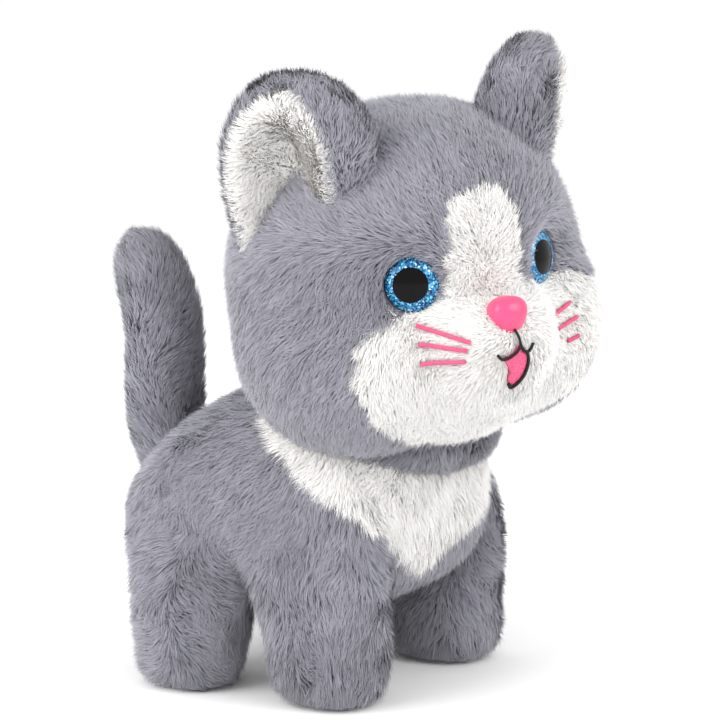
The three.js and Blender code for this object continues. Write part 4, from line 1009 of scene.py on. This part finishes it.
# ---- torso
# Sections from chest to rump: y, half width, bottom and top.
TORSO = [(-57, 6, 56, 68), (-55, 23, 47, 79), (-49, 38, 38, 91), (-39, 46.5, 31.5, 100),
         (-22, 51, 28, 106), (-2, 53, 27, 105), (18, 55, 27, 99), (34, 54, 28.5, 91),
         (46, 47, 33, 80), (55, 33, 41, 71), (58.5, 14, 50, 61), (59.5, 3, 54, 57)]
# Lower edge of the white bib: degrees round the neck, from the kitten's right to its left, and z.
BIB = [(-116, 200), (-114, 90.5), (-98.7, 81.8), (-90, 76), (-80, 70.8), (-64, 63), (-53, 53),
       (-42, 45.5), (-33, 41.4), (-26, 42), (-14, 46.8), (10.5, 50.7), (35, 53.5), (50, 56),
       (58, 63), (80, 72), (98.7, 81.8), (114, 90.5), (116, 200)]
BELLY = (-20.5, 20.5, -37.0, 36.5)   # opening under the chassis: x and y limits
BELLY_Z = 45                         # the opening is below this
CHASSIS_Z = 37.5                     # where the skin's edge meets the chassis


def torso_surface():
    rows = smooth_rows(TORSO, 80)
    turns = 120
    t = circle(turns)
    c, s = np.cos(t), np.sin(t)
    power = np.where(s < 0, 2 / 2.9, 2 / 2.3)
    rings = []
    for y, half, bottom, top in rows:
        across = squared(c, power) * max(1, half - INSET)
        up = squared(s, power) * max(1, (top - bottom) / 2 - INSET)
        along = np.full(turns, y * (1 - INSET / 62))
        rings.append(np.stack([across, along, (bottom + top) / 2 + up], 1))
    return closed(rings)


def in_belly(p, margin=0.0):
    """True for points within margin of the battery opening."""
    x0, x1, y0, y1 = BELLY
    return ((p[:, 0] > x0 - margin) & (p[:, 0] < x1 + margin) & (p[:, 1] > y0 - margin)
            & (p[:, 1] < y1 + margin) & (p[:, 2] < BELLY_Z))


def is_bib(p):
    angle = np.degrees(np.arctan2(p[:, 0], -(p[:, 1] + 20)))
    return p[:, 2] > np.interp(angle, *zip(*BIB))


def plant(name, attach, root, normal, comb, length, seed, white, pieces):
    """Pile on the body, grey or white by where each tip lies. attach is called on each piece."""
    tips = root + level(normal, comb) * (0.6 * length)[:, None]
    inside = white(tips + Waves(32, 5).vector(root) * 0.5)
    grey = thinned(np.nonzero(~inside)[0], np.random.default_rng(seed))
    for k, part in enumerate(np.array_split(grey, pieces)):
        grow(f"{name}_pile_{k + 1}", root[part], normal[part], comb[part], length[part],
             "grey_plush", attach, seed + k)
    part = np.nonzero(inside)[0]
    if len(part) > 50:      # a few stray strands make no piece
        grow(f"{name}_bib_pile", root[part], normal[part], comb[part], length[part],
             "white_plush", attach, seed + 9, width=0.25, gather=0.3, messy=0.4, tint_bias=0.08)


def open_belly(obj):
    """Cuts the battery opening in the torso's skin and turns its edge up to the chassis."""
    bm = bmesh.new()
    bm.from_mesh(obj.data)
    middles = np.array([face.calc_center_median() for face in bm.faces]) * 1000 - SHIFT
    gone = [face for face, inside in zip(bm.faces, in_belly(middles)) if inside]
    bmesh.ops.delete(bm, geom=gone, context="FACES")
    rim = [e for e in bm.edges if e.is_boundary]
    made = bmesh.ops.extrude_edge_only(bm, edges=rim)
    for v in (g for g in made["geom"] if isinstance(g, bmesh.types.BMVert)):
        v.co.z = CHASSIS_Z * MM
    bm.to_mesh(obj.data)
    bm.free()


def torso():
    surface = torso_surface()
    open_belly(sewn("torso_skin", surface, "grey_plush", riding("torso"), 0.8,
                    "torso_plush", "bib_patch"))

    def keep(root, normal):
        return ~in_belly(root, 1.5) & over_head(to_head(root), 6) & ~deep_in_leg(root)
    root, normal = surface.scatter(DENSE["white"], np.random.default_rng(21), keep)
    front = np.clip((-root[:, 1:2] - 18) / 25, 0, 1)
    comb = (np.array([0, 0.55, -0.8]) * (1 - front) + np.array([0, 0.0, -1.0]) * front
            + root * np.array([0.006, 0, 0]))
    length = 6.8 * np.clip((root[:, 2] - 26) / 12, 0.5, 1)
    plant("torso", riding("torso"), root, normal, comb, length, 121, is_bib, 3)


# ---- neck fold
def neck():
    """Soft roll of plush between the torso and the head, round an oval ring."""
    turns, rows, radius = 96, 24, 6.5
    centre, reach = np.array([0.0, -33.0]), np.array([39.5, 30.0])
    t = circle(rows)
    rings = []
    for a in circle(turns):
        out = np.array([math.cos(a), math.sin(a)])
        x, y = centre + out * reach - out * 6
        height = 89 - 3.5 * max(0.0, -math.sin(a)) ** 1.5 + 5 * max(0.0, math.sin(a))
        rings.append(np.stack([x + out[0] * radius * np.cos(t), y + out[1] * radius * np.cos(t),
                               height + radius * 1.1 * np.sin(t)], 1))
    faces = grid_faces(turns + 1, rows, True) % (turns * rows)
    surface = Surface(np.concatenate(rings), [faces])
    sewn("neck_roll_skin", surface, "grey_plush", riding("torso"), 0.5)

    def outer(root, normal):
        return (normal[:, :2] * unit(root[:, :2] - centre)).sum(1) > -0.25
    root, normal = surface.scatter(DENSE["grey"], np.random.default_rng(23), outer)
    around = unit(np.cross(np.array([0, 0, 1.0]), root - np.array([*centre, 90.0])))
    comb = around * 0.5 * np.sign(root[:, :1]) + np.array([0, 0.2, -0.9])
    # The roll's pile is made much darker as painted shade under the chin.
    grow("neck_roll_pile", root, normal, comb, 5.4, "grey_plush", riding("torso"), 133,
         tint_bias=-0.42)


# ---- legs
LEGS = {   # side, end, and how far out the foot's middle and the hip's outer side are
    "front_right": (-1, "front", 33.0, 50.0), "front_left": (1, "front", 33.0, 50.0),
    "rear_right": (-1, "rear", 39.0, 55.0), "rear_left": (1, "rear", 39.0, 55.0),
}


LEG_Z = [1, 3, 7, 13, 21, 30, 40, 50, 60, 70, 77, 82.5, 85]
THIGH_INNER = [23, 28, 31, 32, 33, 34.5, 37, 39]
# At those heights: what the sections add to the foot's inner side (the first four), to its outer
# side (the first six) and to the hip's (the rest), half depth, and how far behind the hip they lie.
LEG_SHAPE = {
    "front": ([4.5, 2, 0.4, 0], [-5.5, -3, -1, 0.3, 0.3, 0], [0.8, 0.6, 0.2, -1.2, -3.6, -6.5, -9],
              [14, 16.6, 18.6, 19.8, 21.2, 23.6, 26.2, 27.4, 25.5, 20.5, 14.5, 7.5, 2.5],
              [0, 0, 0.2, 0.6, 1.6, 3.2, 5.4, 6.8, 6.8, 5.5, 4.5, 4, 4]),
    "rear": ([4.8, 2.4, 1, 0.4], [-5.8, -3.4, -1.6, -0.4, 0.3, 0.6],
             [1.6, 1.4, 0.8, -1, -3.6, -6.5, -9],
             [13.4, 15.6, 17.2, 18.2, 19.6, 21.2, 22.6, 23.2, 22.4, 19, 14, 7.5, 2.5],
             [0.3, 0.3, 0.2, 0, 0, 0, 0, 0.5, 0.5, 0.5, 0.5, 0, 0]),
}


def leg_sections(end, foot, hip_out):
    """Rows of z, inner x, outer x, half depth and how far the middle lies behind the hip."""
    foot_in, foot_out, thigh_out, half, back = LEG_SHAPE[end]
    inner, outer = foot - 16.5, foot + 18.5
    inner_x = [inner + more for more in foot_in] + [max(inner, 18)] + THIGH_INNER
    outer_x = [outer + more for more in foot_out] + [hip_out + more for more in thigh_out]
    return list(zip(LEG_Z, inner_x, outer_x, half, back))


def leg_turn(side, end):
    """The stride's rotation of a leg, and the hip that it is about."""
    return turn("X", -side * STRIDE), np.array([0, HIP_Y[end], HIP_Z])


def leg_surface(name):
    side, end, foot, hip_out = LEGS[name]
    rows = smooth_rows(leg_sections(end, foot, hip_out), 60)
    turns = 72
    inset = INSET - 0.4
    t = circle(turns)
    c, s = np.cos(t), np.sin(t)
    rings = []
    for z, inner, outer, half, back in rows:
        x = (inner + outer) / 2 + squared(c, 0.9) * max(1, (outer - inner) / 2 - inset)
        y = HIP_Y[end] + back + squared(s, 0.9) * max(1, half - inset)
        rings.append(np.stack([side * x, y, np.full(turns, max(z, 1.6))], 1))
    spin, pivot = leg_turn(side, end)
    rings = (np.array(rings) - pivot) @ spin.T + pivot
    rings[:, :, 2] = np.maximum(rings[:, :, 2], 2.0)
    return closed(rings)


def in_torso(p):
    """True for points well under the torso's skin."""
    y, half, bottom, top = np.array(TORSO, float).T
    half, bottom, top = (np.interp(p[:, 1], y, v) - INSET for v in (half, bottom, top))
    bottom = bottom + 2 * INSET
    up = (p[:, 2] - (bottom + top) / 2) / np.maximum(1, (top - bottom) / 2)
    across = p[:, 0] / np.maximum(1, half)
    return (np.abs(across) ** 2.5 + np.abs(up) ** 2.5 < 0.86) & (np.abs(p[:, 1]) < 54)


def deep_in_leg(root):
    """True well inside the upper part of any leg, where no pile could be seen."""
    deep = np.zeros(len(root), bool)
    for side, end, foot, hip_out in LEGS.values():
        x = root[:, 0] * side
        away = np.hypot(root[:, 1] - HIP_Y[end], root[:, 2] - HIP_Z)
        deep |= (x > 36) & (x < hip_out - 8) & (away < 12)
    return deep


def leg(name):
    side, end, foot, hip_out = LEGS[name]
    surface = leg_surface(name)
    spin, pivot = leg_turn(side, end)

    def attach(obj):
        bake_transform(obj)

    def keep(root, normal):
        sole = (normal[:, 2] < -0.75) & (root[:, 2] < 3.0) & (np.abs(root[:, 0] * side - foot) < 10)
        return ~in_torso(root) & ~sole
    root, normal = surface.scatter(DENSE["white"], np.random.default_rng(51 + len(name)), keep)
    local = (root - pivot) @ spin + pivot
    low = np.clip((20 - local[:, 2:]) / 14, 0, 1)
    spread = unit(np.concatenate([local[:, :1] - side * foot, local[:, 1:2] - HIP_Y[end],
                                  np.zeros((len(root), 1))], 1))
    comb = np.array([0, 0, -1.0]) + 0.25 * low * spread
    if name != "front_right":     # the pile parts along the outside of the other legs
        apart = local[:, 1:2] - HIP_Y[end] + (2.0 if end == "rear" else 4.0)
        outer = (np.clip((local[:, :1] * side - foot) / 10, 0, 1)
                 * np.clip((70 - local[:, 2:]) / 25, 0, 1))
        comb = comb * (1 - 0.5 * outer) + outer * 0.9 * np.tanh(apart / 2.2) * np.array([0, 1.0, 0])
    size = 6.8 * np.clip((root[:, 2] + 8) / 14, 0.75, 1)
    sewn(f"leg_{name}_skin", surface, "grey_plush", attach, 0.8, f"leg_{name}_plush")
    white = is_bib if end == "front" else (lambda p: np.zeros(len(p), bool))
    seed = 161 + 20 * list(LEGS).index(name)
    plant(f"leg_{name}", attach, root, normal, comb, size, seed, white, 1)


# ---- tail
# Sections from root to tip: y and z of the middle, and radius.
TAIL = [(46, 64, 12.5), (53, 66, 13), (58, 69.5, 13.3), (61.3, 76, 13.6), (62.6, 85, 14.3),
        (62.8, 98, 14.6), (62.6, 110, 14.4), (64, 122, 14.3), (67.2, 132, 13.8),
        (70.4, 139.6, 12.4), (73, 144.8, 9.2), (74.4, 147.4, 3.5)]


def tail():
    rows = smooth_rows(TAIL, 60)
    run = unit(np.gradient(rows[:, :2], axis=0))
    turns = 48
    t = circle(turns)
    rings = []
    for (y, z, r), (dy, dz) in zip(rows, run):
        r = max(1, r - INSET - 0.4)
        rings.append(np.stack([r * np.cos(t), y - dz * r * np.sin(t), z + dy * r * np.sin(t)], 1))
    surface = closed(rings)

    def attach(obj):
        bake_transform(obj)
    sewn("tail_skin", surface, "grey_plush", attach, 0.8, "tail_plush")
    root, normal = surface.scatter(DENSE["grey"], np.random.default_rng(61),
                                   lambda root, normal: root[:, 1] > 49)
    nearest = np.argmin(((root[:, None, 1:] - rows[None, :, :2]) ** 2).sum(-1), 1)
    along = np.concatenate([np.zeros((len(root), 1)), run[nearest]], 1)
    grow("tail_pile", root, normal, along, 6.2, "grey_plush", attach, 271, tint_bias=-0.06)


# ---- the whole kitten
def head():
    surface = head_surface()
    skin = sewn("head_skin", surface, "grey_plush", riding("head"), 0.9, "head_plush", "face_patch")
    skin.data.materials.append(materials["white_cloth"])
    middle = np.array([f.center for f in skin.data.polygons]) * 1000 - SHIFT
    skin.data.polygons.foreach_set("material_index", is_mask(to_head(middle)).astype(np.int32))
    head_pile(surface)


place_camera()
studio()
dress_frame()
head()
face_details()
ear("right", -1)
ear("left", 1)
torso()
neck()
for leg_name in LEGS:
    leg(leg_name)
tail()

bpy.context.view_layer.update()
